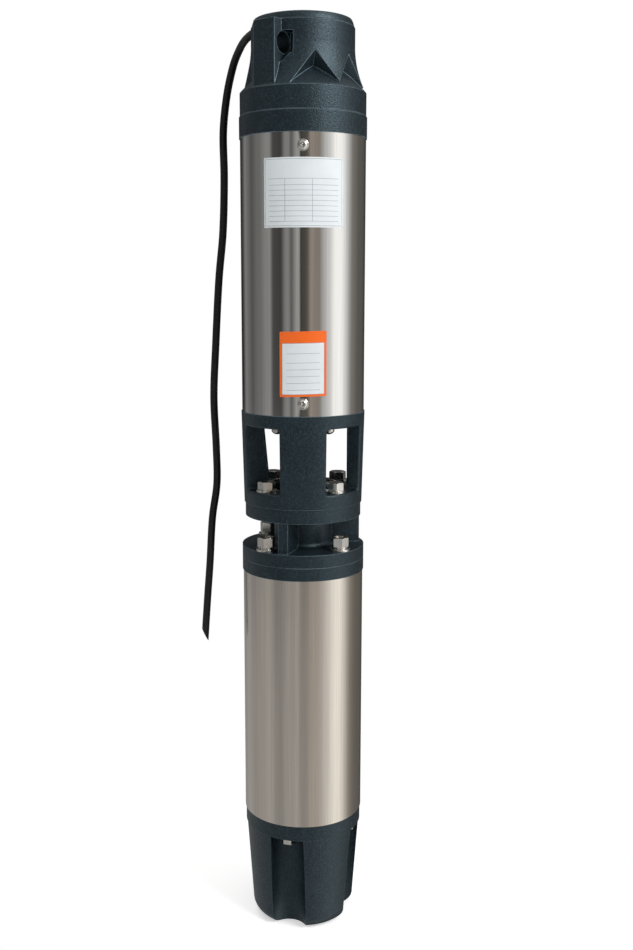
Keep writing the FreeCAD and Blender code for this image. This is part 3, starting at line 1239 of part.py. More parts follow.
def make_lead():
    """Motor lead: gland, the stretch under its guard and the free tail."""
    gland_up = f"{SPOOL} + gland_height"
    stub = spoke("gland_stub", "lead_radius + gland_wall", "neck_radius - chamber_radius",
                 "chamber_radius", "0")
    flats = hexagon("gland_hexagon", "gland_flats", "gland_hex_length")
    flats.Placement = FreeCAD.Placement(FreeCAD.Vector(), FreeCAD.Rotation(FreeCAD.Vector(1, 0, 0), 90))
    for path in ("x", "z"):
        bind(flats, f"Placement.Base.{path}", "0")
    flats.setExpression("Placement.Rotation.Angle", None)
    bind(flats, "Placement.Base.y", "-neck_radius")
    flats.Placement.Rotation = FreeCAD.Rotation(FreeCAD.Vector(1, 0, 0), 90)
    dome = spoke("gland_dome", "gland_flats / 2 - gland_wall", "gland_dome_length",
                 "neck_radius + gland_hex_length", "0")
    lead_hole = spoke("gland_lead_hole", "lead_radius", "60", "chamber_radius - 5", "0")
    gland = cut("gland_pierced", join("gland_solid", [stub, flats, dome]), lead_hole)
    finish(around("lead_gland", gland, ["180"]), gland_up)

    centre = value("neck_radius + lead_bend_gap")
    height = value(gland_up)
    bend = value(LEAD_RUN) - centre
    corner = bend / math.cos(math.radians(15))
    points = [FreeCAD.Vector(0, value("chamber_radius") + 4, height)]
    for angle in (-75, -45, -15):
        turn = math.radians(angle)
        points.append(FreeCAD.Vector(0, centre + corner * math.cos(turn),
                                     height + bend + corner * math.sin(turn)))
    points.append(FreeCAD.Vector(*TAIL_ROUTE[0]))
    finish(tube("motor_lead", points))
    finish(tube("lead_tail", [FreeCAD.Vector(*point) for point in TAIL_ROUTE]))

    low = f"({SUCTION} + guard_start)"
    high = f"({HEAD} + guard_end)"
    length = f"({high} - {low})"
    outer_width = "(guard_inner_width + 2 * guard_wall)"
    depth = f"({LEAD_RUN} + lead_radius + 0.5 + guard_wall - {GUARD_STAND})"
    channel = cut("guard_channel",
                  block("guard_outside", outer_width, depth, length, f"{GUARD_STAND} + {depth}"),
                  block("guard_inside", "guard_inner_width", f"{depth} - guard_wall", length,
                        f"{GUARD_STAND} + {depth} - guard_wall"))
    span = f"({outer_width} + 2 * guard_flap)"
    flaps = cut("guard_flaps", block("guard_sheet", span, "guard_wall", length, f"{GUARD_STAND} + guard_wall"),
                block("guard_slot", outer_width, "guard_wall", length, f"{GUARD_STAND} + guard_wall"))
    side = "(guard_inner_width / 2 + guard_wall + guard_flap / 2)"
    low_screw = f"({SUCTION_HEIGHT} - guard_foot - guard_start)"
    high_screw = f"({HEAD} + low_band / 2 - {low})"
    holes = []
    screws = []
    for number, (across, up) in enumerate(((f"-{side}", low_screw), (side, low_screw),
                                           (f"-{side}", high_screw), (side, high_screw)), 1):
        hole = spoke(f"guard_hole_{number}", "guard_screw_radius", "4", f"{GUARD_STAND} - 1", up)
        bind(hole, "Placement.Base.x", across)
        holes.append(hole)
        head = spoke(f"guard_screw_{number}_head", "guard_head_radius", "guard_head_height",
                     f"{GUARD_STAND} + guard_wall", up)
        shank = spoke(f"guard_screw_{number}_shank", "guard_screw_radius", "guard_wall + guard_screw_length",
                      f"{GUARD_STAND} - guard_screw_length", up)
        for part in (head, shank):
            bind(part, "Placement.Base.x", across)
        screws.append(join(f"guard_screw_{number}", [head, shank]))
    guard = cut("guard_pierced", join("guard_hat", [channel, flaps]), join("guard_holes", holes))
    finish(around("cable_guard", guard, ["180"]), low)
    group = DOC.addObject("Part::Compound", "guard_screw_set")
    group.Links = screws
    finish(around("guard_screws", group, ["180"]), low)


def check_document():
    """Stop if anything in the document failed or is not a valid shape."""
    DOC.recompute()
    for thing in DOC.Objects:
        if "Invalid" in thing.State or "Error" in thing.State:
            raise RuntimeError(f"{thing.Name} failed: {thing.State}")
    for piece in PIECES:
        if piece.Shape.isNull() or not piece.Shape.isValid() or not piece.Shape.Solids:
            raise RuntimeError(f"{piece.Label} has no valid solid")


def export_pieces():
    """Write each sub-part's shape to its own file."""
    os.makedirs("parts", exist_ok=True)
    for piece in PIECES:
        piece.Shape.exportStep(f"parts/{piece.Label}.step")
        print(f"{piece.Label}: {len(piece.Shape.Solids)} solids")


make_foot()
make_motor()
make_motor_bracket()
make_suction_bracket()
make_coupling()
make_stages()
make_pump_shaft()
make_pump_shell()
make_head()
make_valve()
make_lead()
check_document()
export_pieces()
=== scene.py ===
"""Looks of a borehole submersible pump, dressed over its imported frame.

Units are metres, in the frame of the solids: +Z up, the foot's flat bottom at z = 0, and the
front of the pump, the side with the rating plates, facing -Y. Angles round the pump are degrees
from the front, positive towards +X.
"""

from __future__ import annotations

import logging
import math
from dataclasses import dataclass
from enum import Enum
from typing import Any

import bmesh
import bpy
from mathutils import Matrix, Vector

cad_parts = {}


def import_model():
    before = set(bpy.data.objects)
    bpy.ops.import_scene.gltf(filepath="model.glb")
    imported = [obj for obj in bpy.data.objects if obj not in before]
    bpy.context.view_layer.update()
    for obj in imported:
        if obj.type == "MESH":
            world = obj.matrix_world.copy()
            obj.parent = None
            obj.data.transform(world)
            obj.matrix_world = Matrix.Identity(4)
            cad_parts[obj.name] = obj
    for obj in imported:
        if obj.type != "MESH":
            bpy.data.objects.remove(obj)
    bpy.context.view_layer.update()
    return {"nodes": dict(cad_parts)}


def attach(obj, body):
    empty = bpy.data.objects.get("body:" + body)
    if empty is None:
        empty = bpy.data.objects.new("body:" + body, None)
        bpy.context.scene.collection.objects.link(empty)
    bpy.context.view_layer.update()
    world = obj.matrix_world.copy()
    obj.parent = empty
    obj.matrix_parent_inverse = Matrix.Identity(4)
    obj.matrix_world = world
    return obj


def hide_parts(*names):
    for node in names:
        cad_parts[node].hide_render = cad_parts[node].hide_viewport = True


Colour = tuple[float, float, float]
Point = tuple[float, float, float]
Span = tuple[float, float]

LOG = logging.getLogger("borehole_pump")
BODY = "pump_frame"  # the body that every new piece rides on
MM = 0.001
SHELL = 0.071  # radius of the pump shell
ORIGIN: Point = (0.0, 0.0, 0.0)
UP: Point = (0.0, 0.0, 1.0)
EVEN: Point = (1.0, 1.0, 1.0)
WHITE: Colour = (1.0, 1.0, 1.0)
UNIT: Span = (0.0, 1.0)
WIDE: Span = (0.3, 0.7)  # nearly all of a noise pattern
MIDDLE: Span = (0.35, 0.65)  # the part of it where it changes most
EDGE_SPAN: Span = (0.985, 0.84)  # likeness of rounded and flat normal, on a face and on an edge


def paint(red: int, green: int, blue: int) -> Colour:
    """Turn a colour as it looks on screen into the linear one that shaders use.

    Args:
        red: Red from 0 to 255.
        green: Green from 0 to 255.
        blue: Blue from 0 to 255.

    Returns:
        The linear red, green and blue from 0 to 1.
    """
    return tuple(
        (part / 255 / 12.92) if part <= 10 else ((part / 255 + 0.055) / 1.055) ** 2.4
        for part in (red, green, blue)
    )


def toned(colour: Colour, tone: float) -> Colour:
    """Make a linear colour darker or lighter by a factor, up to white."""
    return tuple(min(part * tone, 1.0) for part in colour)


def around(radius: float, angle: float, height: float) -> Point:
    """Find the point at a distance from the axis, an angle from the front and a height."""
    turn = math.radians(angle)
    return (radius * math.sin(turn), -radius * math.cos(turn), height)


class Graph:
    """The node tree of one material or world, built up a node at a time."""

    def __init__(self, owner: Any) -> None:
        """Start from an empty tree.

        Args:
            owner: The material or world that holds the tree.
        """
        owner.use_nodes = True
        self.tree = owner.node_tree
        self.tree.nodes.clear()

    def add(self, kind: str, **settings: Any) -> Any:
        """Add a node.

        Args:
            kind: The node's type.
            settings: Values of the node's own properties.

        Returns:
            The new node.
        """
        node = self.tree.nodes.new(kind)
        for name, setting in settings.items():
            setattr(node, name, setting)
        return node

    def join(self, source: Any, target: Any) -> None:
        """Link an output socket to an input socket."""
        self.tree.links.new(source, target)

    def feed(self, target: Any, source: Any) -> None:
        """Give an input socket either a link or a plain value.

        Args:
            target: The input socket.
            source: An output socket, or the value to set.
        """
        if isinstance(source, bpy.types.NodeSocket):
            self.join(source, target)
        else:
            target.default_value = source

    def tint(self, target: Any, colour: Any) -> None:
        """Give a colour input either a link or a linear colour."""
        self.feed(target, colour if isinstance(colour, bpy.types.NodeSocket) else (*colour, 1.0))

    def math(self, operation: str, first: Any, second: Any) -> Any:
        """Combine two numbers.

        Args:
            operation: The Math node's operation.
            first: Socket or number.
            second: Socket or number.

        Returns:
            The result's socket.
        """
        node = self.add("ShaderNodeMath", operation=operation)
        self.feed(node.inputs[0], first)
        self.feed(node.inputs[1], second)
        return node.outputs[0]

    def stretch(self, source: Any, span: Span, target: Span) -> Any:
        """Map one range of numbers to another, with the ends clamped.

        Args:
            source: Socket with the number.
            span: The numbers that become the target's ends.
            target: The results at the span's ends.

        Returns:
            The result's socket.
        """
        node = self.add("ShaderNodeMapRange")
        self.join(source, node.inputs["Value"])
        for name, end in zip(("From Min", "From Max", "To Min", "To Max"), span + target):
            node.inputs[name].default_value = end
        return node.outputs["Result"]

    def place(self, scale: Point = EVEN) -> Any:
        """Read the piece's Object coordinates, stretched along each axis.

        Args:
            scale: Stretch along X, Y and Z.

        Returns:
            The coordinates' socket.
        """
        coordinates = self.add("ShaderNodeTexCoord").outputs["Object"]
        if scale == EVEN:
            return coordinates
        mapping = self.add("ShaderNodeMapping")
        mapping.inputs["Scale"].default_value = scale
        self.join(coordinates, mapping.inputs["Vector"])
        return mapping.outputs["Vector"]

    def noise(self, vector: Any, scale: float, detail: float = 2.0, rough: float = 0.5) -> Any:
        """Read a noise pattern.

        Args:
            vector: Socket with the coordinates.
            scale: Pattern features per metre.
            detail: Number of finer layers.
            rough: Strength of the finer layers.

        Returns:
            The pattern's socket, about 0.3 to 0.7.
        """
        node = self.add("ShaderNodeTexNoise")
        self.join(vector, node.inputs["Vector"])
        node.inputs["Scale"].default_value = scale
        node.inputs["Detail"].default_value = detail
        node.inputs["Roughness"].default_value = rough
        return node.outputs["Fac"]

    def blend(self, factor: Any, first: Any, second: Any) -> Any:
        """Mix two colours.

        Args:
            factor: Socket or number, 0 for the first colour and 1 for the second.
            first: Socket or linear colour.
            second: Socket or linear colour.

        Returns:
            The mixed colour's socket.
        """
        node = self.add("ShaderNodeMix", data_type="RGBA")
        self.feed(node.inputs["Factor"], factor)
        self.tint(node.inputs["A"], first)
        self.tint(node.inputs["B"], second)
        return node.outputs["Result"]

    def mottle(self, pattern: Any, span: Span, colour: Colour, tone: float, share: float) -> Any:
        """Turn a colour, over a span of a pattern, towards a share of another tone of it."""
        return self.blend(self.stretch(pattern, span, (0.0, share)), colour, toned(colour, tone))

    def bump(self, height: Any, depth: float, strength: float, normal: Any = None) -> Any:
        """Turn a height pattern into a normal.

        Args:
            height: Socket with the height.
            depth: Real depth of the pattern.
            strength: Share of the pattern that shows.
            normal: Socket with the normal underneath, if any.

        Returns:
            The normal's socket.
        """
        node = self.add("ShaderNodeBump")
        node.inputs["Strength"].default_value = strength
        node.inputs["Distance"].default_value = depth
        self.join(height, node.inputs["Height"])
        if normal is not None:
            self.join(normal, node.inputs["Normal"])
        return node.outputs["Normal"]

    def edges(self, radius: float) -> tuple[Any, Any]:
        """Round the edges for the light and find where they are.

        Args:
            radius: Radius of the rounding.

        Returns:
            The rounded normal's socket, and a socket that rises from 0 on faces to 1 on edges.
        """
        bevel = self.add("ShaderNodeBevel", samples=6)
        bevel.inputs["Radius"].default_value = radius
        flat = self.add("ShaderNodeNewGeometry").outputs["Normal"]
        likeness = self.add("ShaderNodeVectorMath", operation="DOT_PRODUCT")
        self.join(bevel.outputs["Normal"], likeness.inputs[0])
        self.join(flat, likeness.inputs[1])
        return bevel.outputs["Normal"], self.stretch(likeness.outputs["Value"], EDGE_SPAN, UNIT)

    def shader(self, colour: Any, metallic: float, roughness: Any, normal: Any,
               **extra: Any) -> None:
        """Finish the material with its surface shader.

        Args:
            colour: Socket or linear colour.
            metallic: 1 for bare metal, 0 for everything else.
            roughness: Socket or number.
            normal: Socket with the normal.
            extra: Plain values of further inputs, with spaces written as underscores.
        """
        surface = self.add("ShaderNodeBsdfPrincipled")
        self.tint(surface.inputs["Base Color"], colour)
        surface.inputs["Metallic"].default_value = metallic
        self.feed(surface.inputs["Roughness"], roughness)
        self.join(normal, surface.inputs["Normal"])
        for name, setting in extra.items():
            surface.inputs[name.replace("_", " ")].default_value = setting
        output = self.add("ShaderNodeOutputMaterial")
        self.join(surface.outputs["BSDF"], output.inputs["Surface"])


@dataclass(frozen=True)
class Finish:
    """A surface finish, which makes one material.

    Attributes:
        name: The material's name.
        colour: Its linear colour, which is the reflectance of a bare metal.
    """

    name: str
    colour: Colour

    def shade(self, graph: Graph) -> None:
        """Build the finish's nodes; each finish has its own."""
        raise NotImplementedError

    def material(self) -> bpy.types.Material:
        """Make the material, or find it where it was made before.

        Returns:
            The finish's material.
        """
        found = bpy.data.materials.get(self.name)
        if found is None:
            found = bpy.data.materials.new(self.name)
            self.shade(Graph(found))
        return found


@dataclass(frozen=True)
class CastPaint(Finish):
    """Slate paint over a sand casting: fine grain, pale specks and a painted highlight on its
    edges.

    Attributes:
        speck: The paler specks in it.
        edge_highlight: Colour of the painted highlight on the edges.
        sheen: Tint of its reflections.
        gloss: Roughness at the bottom and the top of the grain.
        grain: Grains of the casting per metre.
        depth: Depth of the grain.
        specks: Specks per metre.
        patches: Patches of thin paint per metre.
        heights: Heights between which the painted edge highlight grows, from the foot up to the
            head.
        wear: Share of the painted edge highlight at those heights.
    """

    name: str = "slate_paint_on_casting"
    colour: Colour = paint(9, 18, 23)
    speck: Colour = paint(60, 78, 88)
    edge_highlight: Colour = paint(142, 166, 178)
    sheen: Colour = (0.66, 0.88, 1.0)
    gloss: Span = (0.32, 0.46)
    grain: float = 620.0
    depth: float = 0.0005
    specks: float = 806.0
    patches: float = 28.0
    heights: Span = (0.2, 0.9)
    wear: Span = (0.2, 1.0)

    def shade(self, graph: Graph) -> None:
        """Build the paint's nodes.

        Args:
            graph: The material's tree.
        """
        place = graph.place()
        grain = graph.noise(place, self.grain, detail=3.0, rough=0.6)
        patches = graph.noise(place, self.patches, detail=3.0)
        thin = graph.stretch(patches, MIDDLE, target=(0.0, 0.06))
        base = graph.blend(thin, self.colour, self.speck)
        fine = graph.noise(place, self.specks, detail=1.0)
        specks = graph.stretch(fine, span=(0.5, 0.68), target=(0.0, 0.42))
        speckled = graph.blend(specks, base, self.speck)
        rounded, edge = graph.edges(radius=0.0013)
        # Painted highlight on the edges: a pale colour laid over them in patches, stronger towards
        # the head than the foot.
        highlight_patchiness = graph.stretch(patches, span=(0.35, 0.6), target=(0.4, 0.9))
        height = graph.add("ShaderNodeSeparateXYZ")
        graph.join(place, height.inputs[0])
        highlight_by_height = graph.stretch(height.outputs["Z"], self.heights, self.wear)
        painted_edge_highlight = graph.math("MULTIPLY", edge, graph.math("MULTIPLY", highlight_patchiness, highlight_by_height))
        colour = graph.blend(painted_edge_highlight, speckled, self.edge_highlight)
        roughness = graph.stretch(grain, WIDE, self.gloss)
        normal = graph.bump(grain, self.depth, strength=0.9, normal=rounded)
        graph.shader(colour, 0.0, roughness, normal,
                     Specular_IOR_Level=0.58, Specular_Tint=(*self.sheen, 1.0))


@dataclass(frozen=True)
class SheetSteel(Finish):
    """Stainless sheet, rolled into a tube and polished along it.

    Attributes:
        roughness: How soft its reflections are from streak to streak, at least and at most.
        marks: Polishing marks per metre round the tube.
        clouds: Cloudy patches per metre.
        depth: Depth of the marks.
    """

    name: str = "polished_stainless_sheet"
    colour: Colour = (0.66, 0.65, 0.63)
    roughness: Span = (0.055, 0.105)
    marks: float = 420.0
    clouds: float = 14.0
    depth: float = 0.00002

    def shade(self, graph: Graph) -> None:
        """Build the steel's nodes.

        Args:
            graph: The material's tree.
        """
        along = graph.place(scale=(1.0, 1.0, 0.012))
        marks = graph.noise(along, self.marks, detail=3.0, rough=0.65)
        clouds = graph.noise(graph.place(), self.clouds)
        colour = graph.mottle(marks, WIDE, self.colour, tone=0.82, share=0.6)
        low, high = self.roughness
        cloudy = graph.stretch(clouds, WIDE, (0.0, (high - low) / 2))
        roughness = graph.math("ADD", graph.stretch(marks, WIDE, self.roughness), cloudy)
        graph.shader(colour, 1.0, roughness, graph.bump(marks, self.depth, strength=0.12))


@dataclass(frozen=True)
class MachinedMetal(Finish):
    """Bare metal with turning marks, rounded edges and a painted highlight on them.

    Attributes:
        roughness: How soft its reflections are, at least and at most.
        marks: Machining marks per metre.
        depth: Depth of the marks.
        stains: Dull patches per metre.
    """

    name: str = "bright_fasteners"
    colour: Colour = (0.70, 0.68, 0.64)
    roughness: Span = (0.14, 0.3)
    marks: float = 900.0
    depth: float = 0.00003
    stains: float = 60.0

    def shade(self, graph: Graph) -> None:
        """Build the metal's nodes.

        Args:
            graph: The material's tree.
        """
        marks = graph.noise(graph.place(scale=(1.0, 1.0, 3.0)), self.marks, rough=0.6)
        stain = graph.noise(graph.place(), self.stains, detail=3.0)
        rounded, edge = graph.edges(radius=0.0004)
        dull = graph.mottle(stain, (0.4, 0.65), self.colour, tone=0.7, share=0.5)
        # Painted highlight: the edges are lightened halfway towards a brighter tone of the metal.
        bright = toned(self.colour, tone=1.25)
        colour = graph.blend(graph.math("MULTIPLY", edge, 0.5), dull, bright)
        graph.shader(colour, 1.0, graph.stretch(stain, WIDE, self.roughness),
                     graph.bump(marks, self.depth, strength=0.4, normal=rounded))


@dataclass(frozen=True)
class MouldedPolymer(Finish):
    """Rubber, resin or ceramic with a faint skin.

    Attributes:
        roughness: How soft its reflections are, at least and at most.
        grain: Grains of its skin per metre.
        depth: Depth of the grain.
        patches: Faded patches per metre.
    """

    name: str = "black_rubber"
    colour: Colour = paint(28, 28, 29)
    roughness: Span = (0.5, 0.63)
    grain: float = 900.0
    depth: float = 0.00005
    patches: float = 40.0

    def shade(self, graph: Graph) -> None:
        """Build the polymer's nodes.

        Args:
            graph: The material's tree.
        """
        place = graph.place()
        grain = graph.noise(place, self.grain)
        patches = graph.noise(place, self.patches)
        colour = graph.mottle(patches, MIDDLE, self.colour, tone=1.6, share=0.5)
        graph.shader(colour, 0.0, graph.stretch(grain, WIDE, self.roughness),
                     graph.bump(grain, self.depth, strength=0.5))


@dataclass(frozen=True)
class StackedSheets(Finish):
    """Metal made of thin layers, such as laminations or a winding's turns.

    Attributes:
        roughness: How soft their reflections are.
        layers: Layers per metre of height.
        depth: Depth of the joints between them.
        stains: Dull patches per metre.
    """

    name: str = "stacked_laminations"
    colour: Colour = (0.30, 0.31, 0.33)
    roughness: float = 0.45
    layers: float = 1000.0
    depth: float = 0.00012
    stains: float = 50.0

    def shade(self, graph: Graph) -> None:
        """Build the layers' nodes.

        Args:
            graph: The material's tree.
        """
        place = graph.place()
        wave = graph.add("ShaderNodeTexWave", bands_direction="Z")
        graph.join(place, wave.inputs["Vector"])
        wave.inputs["Scale"].default_value = self.layers / (2 * math.pi)
        wave.inputs["Distortion"].default_value = 0.6
        stain = graph.noise(place, self.stains, detail=3.0)
        colour = graph.mottle(stain, MIDDLE, self.colour, tone=0.6, share=0.7)
        normal = graph.bump(wave.outputs["Fac"], self.depth, strength=0.6)
        graph.shader(colour, metallic=0.85, roughness=self.roughness, normal=normal)


@dataclass(frozen=True)
class PrintedPlate(Finish):
    """Printed foil or plastic label with a soft gloss.

    Attributes:
        roughness: How soft its reflections are, at least and at most.
        ripples: Ripples of the foil per metre.
        depth: Depth of the ripples.
        fibres: Specks of its gloss per metre.
    """

    name: str = "white_plate"
    colour: Colour = paint(216, 222, 225)
    roughness: Span = (0.33, 0.43)
    ripples: float = 60.0
    depth: float = 0.00025
    fibres: float = 2200.0

    def shade(self, graph: Graph) -> None:
        """Build the label's nodes.

        Args:
            graph: The material's tree.
        """
        place = graph.place()
        ripple = graph.noise(place, self.ripples)
        fibre = graph.noise(place, self.fibres, detail=1.0)
        colour = graph.mottle(ripple, MIDDLE, self.colour, tone=0.9, share=0.35)
        graph.shader(colour, 0.0, graph.stretch(fibre, WIDE, self.roughness),
                     graph.bump(ripple, self.depth, strength=0.35))


class Dress(Enum):
    """The finishes of the pump, each under the material slot that it dresses."""

    cast_paint = CastPaint()
    shell_bright = SheetSteel()
    shell_satin = SheetSteel("satin_stainless_sheet", (0.64, 0.585, 0.52), (0.17, 0.23), 520.0)
    fastener_steel = MachinedMetal()
    shaft_steel = MachinedMetal("ground_shaft_steel", (0.56, 0.56, 0.55), (0.14, 0.3), 1400.0)
    bearing_steel = MachinedMetal("hardened_bearing_steel", (0.63, 0.63, 0.64),
                                  (0.06, 0.22), 1600.0)
    impeller_steel = MachinedMetal("pressed_impeller_steel", (0.58, 0.57, 0.55), (0.24, 0.4), 500.0)
    bowl_casting = MachinedMetal("cast_stage_bowls", (0.28, 0.28, 0.27), (0.44, 0.6), 700.0, 0.0001)
    bronze = MachinedMetal("cast_bronze", (0.70, 0.46, 0.22), (0.24, 0.4), 800.0)
    rubber = MouldedPolymer()
    seal_face = MouldedPolymer("carbon_and_ceramic", paint(96, 92, 88), (0.2, 0.33),
                               1500.0, 0.00001)
    laminations = StackedSheets()
    copper = StackedSheets("enamelled_copper", (0.72, 0.30, 0.13), 0.35, 420.0, 0.0006)
    rotor_bars = MachinedMetal("cast_rotor_aluminium", (0.72, 0.72, 0.73), (0.29, 0.45), 500.0)
    lead_rubber = MouldedPolymer("rubber_lead_sheath", paint(13, 15, 16), (0.22, 0.35),
                                 1400.0, 0.00002)
    guard_sheet = MachinedMetal("folded_guard_sheet", (0.58, 0.57, 0.55), (0.27, 0.43), 600.0)


class Light(Enum):
    """Tints of the studio's panels."""

    plain = (1.0, 1.0, 0.985)
    tan = (1.0, 0.88, 0.77)
    straw = (1.0, 0.95, 0.87)


@dataclass(frozen=True)
class Panel:
    """An upright light panel or dark flag of the studio's wall.

    Attributes:
        azimuth: Degrees round the pump from the camera's side, positive towards +X.
        level: How bright the wall is there, 1 for white.
        light: Its tint.
    """

    azimuth: float
    level: float
    light: Light = Light.plain


@dataclass(frozen=True)
class Lamp:
    """A soft square lamp.

    Attributes:
        name: Its name.
        place: Where it stands.
        aim: The point that it faces.
        size: Length of its sides.
        power: Its power in watts.
        mirrored: Whether it shows in reflections.
    """

    name: str
    place: Point
    aim: Point
    size: float
    power: float
    mirrored: bool = False

    def build(self) -> None:
        """Set up the lamp, facing its aim."""
        light = bpy.data.lights.new(self.name, "AREA")
        light.size = self.size
        light.energy = self.power
        lamp = bpy.data.objects.new(self.name, light)
        lamp.location = self.place
        facing = Vector(self.aim) - Vector(self.place)
        lamp.rotation_euler = facing.to_track_quat("-Z", "Y").to_euler()
        lamp.visible_glossy = self.mirrored
        bpy.context.scene.collection.objects.link(lamp)


@dataclass
class Studio:
    """Camera, wall of upright panels, lamps and floor.

    Attributes:
        camera_place: Where the camera stands.
        camera_tilt: Degrees that it looks down.
        lens: Its focal length.
        film: Length of the film's longer side.
        shift: Sideways shift of the lens, as a share of that side.
        panels: The wall, from behind the pump round by its left, front and right.
        lamps: The lamps.
        sky: Level of the ceiling.
        sky_span: Heights of the view over which the wall turns into the ceiling.
        table: Level of the pale table that the lower reflections see.
        table_span: Heights of the view over which the wall turns into the table.
        table_share: How much of the table is seen there.
        dim_side: Where round the wall the table turns dim, 0.5 for the camera's side.
        dim_share: How much of it is left there.
        floor_radius: Radius of the pale floor.
        floor_depth: How far it lies below the foot.
        floor_level: How pale it is.
        floor_glow: Light that the camera sees on the floor besides the lamps' own.
        shadow_span: Distances from the foot over which the floor turns white to the camera.
    """

    camera_place: Point = (0.0, -1.3103, 0.768)
    camera_tilt: float = 9.529
    lens: float = 42.57
    film: float = 36.0
    shift: float = 0.0142
    panels: tuple[Panel, ...] = (
        Panel(-172, 0.05), Panel(-152, 0.05), Panel(-143, 0.10), Panel(-133, 0.28),
        Panel(-108, 0.12), Panel(-95, 0.20), Panel(-84, 0.22), Panel(-72, 0.33),
        Panel(-63, 0.34), Panel(-57, 0.09), Panel(-40, 0.07, Light.straw), Panel(-34, 0.26),
        Panel(-27, 0.33), Panel(-21, 0.13), Panel(-10, 0.50), Panel(-6, 0.05, Light.straw),
        Panel(0, 0.09, Light.straw), Panel(9.5, 0.11, Light.tan), Panel(13, 0.40, Light.tan),
        Panel(30, 0.31, Light.tan), Panel(37, 0.55), Panel(50, 0.88), Panel(60, 1.35),
        Panel(74, 1.42), Panel(84, 1.0), Panel(93, 0.58), Panel(102, 0.28, Light.straw),
        Panel(122, 0.15, Light.straw), Panel(140, 0.13, Light.straw), Panel(156, 0.06),
        Panel(172, 0.06),
    )
    lamps: tuple[Lamp, ...] = (
        Lamp("key_lamp", (1.65, -1.4, 2.2), (0.0, 0.0, 0.75), 1.1, 44.0, mirrored=True),
        Lamp("fill_lamp", (-2.0, -1.5, 1.3), (0.0, 0.0, 0.6), 1.6, 12.0),
        Lamp("back_lamp", (-0.9, 2.2, 1.9), (0.0, 0.0, 0.6), 1.4, 18.0),
    )
    sky: float = 0.7
    sky_span: Span = (0.45, 0.85)
    table: float = 0.9
    table_span: Span = (-0.1, -0.3)
    table_share: float = 0.35
    dim_side: Span = (0.61, 0.77)
    dim_share: float = 0.1
    floor_radius: float = 6.0
    floor_depth: float = 0.0005
    floor_level: float = 0.9
    floor_glow: float = 0.45
    shadow_span: Span = (0.075, 0.3)

    def wall(self, graph: Graph, azimuth: Any) -> Any:
        """Build the wall of upright panels.

        Args:
            graph: The world's tree.
            azimuth: Socket with the direction round the pump, 0 to 1 from behind to behind.

        Returns:
            The socket with the wall's colour.
        """
        ramp = graph.add("ShaderNodeValToRGB")
        graph.join(azimuth, ramp.inputs["Fac"])
        stops = ramp.color_ramp.elements
        while len(stops) < len(self.panels):
            stops.new(0.5)
        for stop, panel in zip(stops, self.panels):
            stop.position = 0.5 + panel.azimuth / 360
            stop.color = (*(panel.level * part for part in panel.light.value), 1.0)
        return ramp.outputs["Color"]

    def world(self) -> None:
        """Light the pump from wall, ceiling and table, and show a white background."""
        world = bpy.data.worlds.new("studio")
        bpy.context.scene.world = world
        graph = Graph(world)
        parts = graph.add("ShaderNodeSeparateXYZ")
        graph.join(graph.add("ShaderNodeTexCoord").outputs["Generated"], parts.inputs[0])
        front = graph.math("MULTIPLY", parts.outputs["Y"], -1.0)
        turn = graph.math("ARCTAN2", parts.outputs["X"], front)
        azimuth = graph.math("ADD", graph.math("DIVIDE", turn, 2 * math.pi), 0.5)
        low = graph.stretch(parts.outputs["Z"], self.table_span, (0.0, self.table_share))
        side = graph.stretch(azimuth, self.dim_side, (1.0, self.dim_share))
        ceiling = graph.stretch(parts.outputs["Z"], self.sky_span, UNIT)
        lower = graph.blend(graph.math("MULTIPLY", low, side), self.wall(graph, azimuth),
                            (self.table,) * 3)
        studio = graph.blend(ceiling, lower, (self.sky,) * 3)
        seen = graph.add("ShaderNodeLightPath").outputs["Is Camera Ray"]
        light = graph.add("ShaderNodeBackground")
        graph.join(graph.blend(seen, studio, WHITE), light.inputs["Color"])
        output = graph.add("ShaderNodeOutputWorld")
        graph.join(light.outputs[0], output.inputs["Surface"])

    def floor_material(self) -> bpy.types.Material:
        """Make the floor's material: matt near the foot, and white to the camera further out.

        Returns:
            The material.
        """
        material = bpy.data.materials.new("pale_floor")
        graph = Graph(material)
        matt, glow, white = (graph.add(f"ShaderNode{kind}")
                             for kind in ("BsdfDiffuse", "Emission", "Emission"))
        graph.tint(matt.inputs["Color"], (self.floor_level,) * 3)
        graph.tint(glow.inputs["Color"], WHITE)
        graph.tint(white.inputs["Color"], WHITE)
        seen = graph.add("ShaderNodeLightPath").outputs["Is Camera Ray"]
        graph.join(graph.math("MULTIPLY", seen, self.floor_glow), glow.inputs["Strength"])
        near = graph.add("ShaderNodeAddShader")
        graph.join(matt.outputs[0], near.inputs[0])
        graph.join(glow.outputs[0], near.inputs[1])
        reach = graph.add("ShaderNodeVectorMath", operation="LENGTH")
        graph.join(graph.place(), reach.inputs[0])
        away = graph.stretch(reach.outputs["Value"], self.shadow_span, UNIT)
        both = graph.add("ShaderNodeMixShader")
        graph.join(graph.math("MULTIPLY", away, seen), both.inputs[0])
        graph.join(near.outputs[0], both.inputs[1])
        graph.join(white.outputs[0], both.inputs[2])
        output = graph.add("ShaderNodeOutputMaterial")
        graph.join(both.outputs[0], output.inputs["Surface"])
        return material

    def floor(self) -> None:
        """Lay the pale floor, with the pump's shadow on it."""
        shape = bmesh.new()
        bmesh.ops.create_circle(shape, cap_ends=True, segments=96, radius=self.floor_radius)
        mesh = bpy.data.meshes.new("floor")
        shape.to_mesh(mesh)
        shape.free()
        mesh.materials.append(self.floor_material())
        floor = bpy.data.objects.new("floor", mesh)
        floor.location = (0.0, 0.0, -self.floor_depth)
        floor.visible_glossy = False
        bpy.context.scene.collection.objects.link(floor)

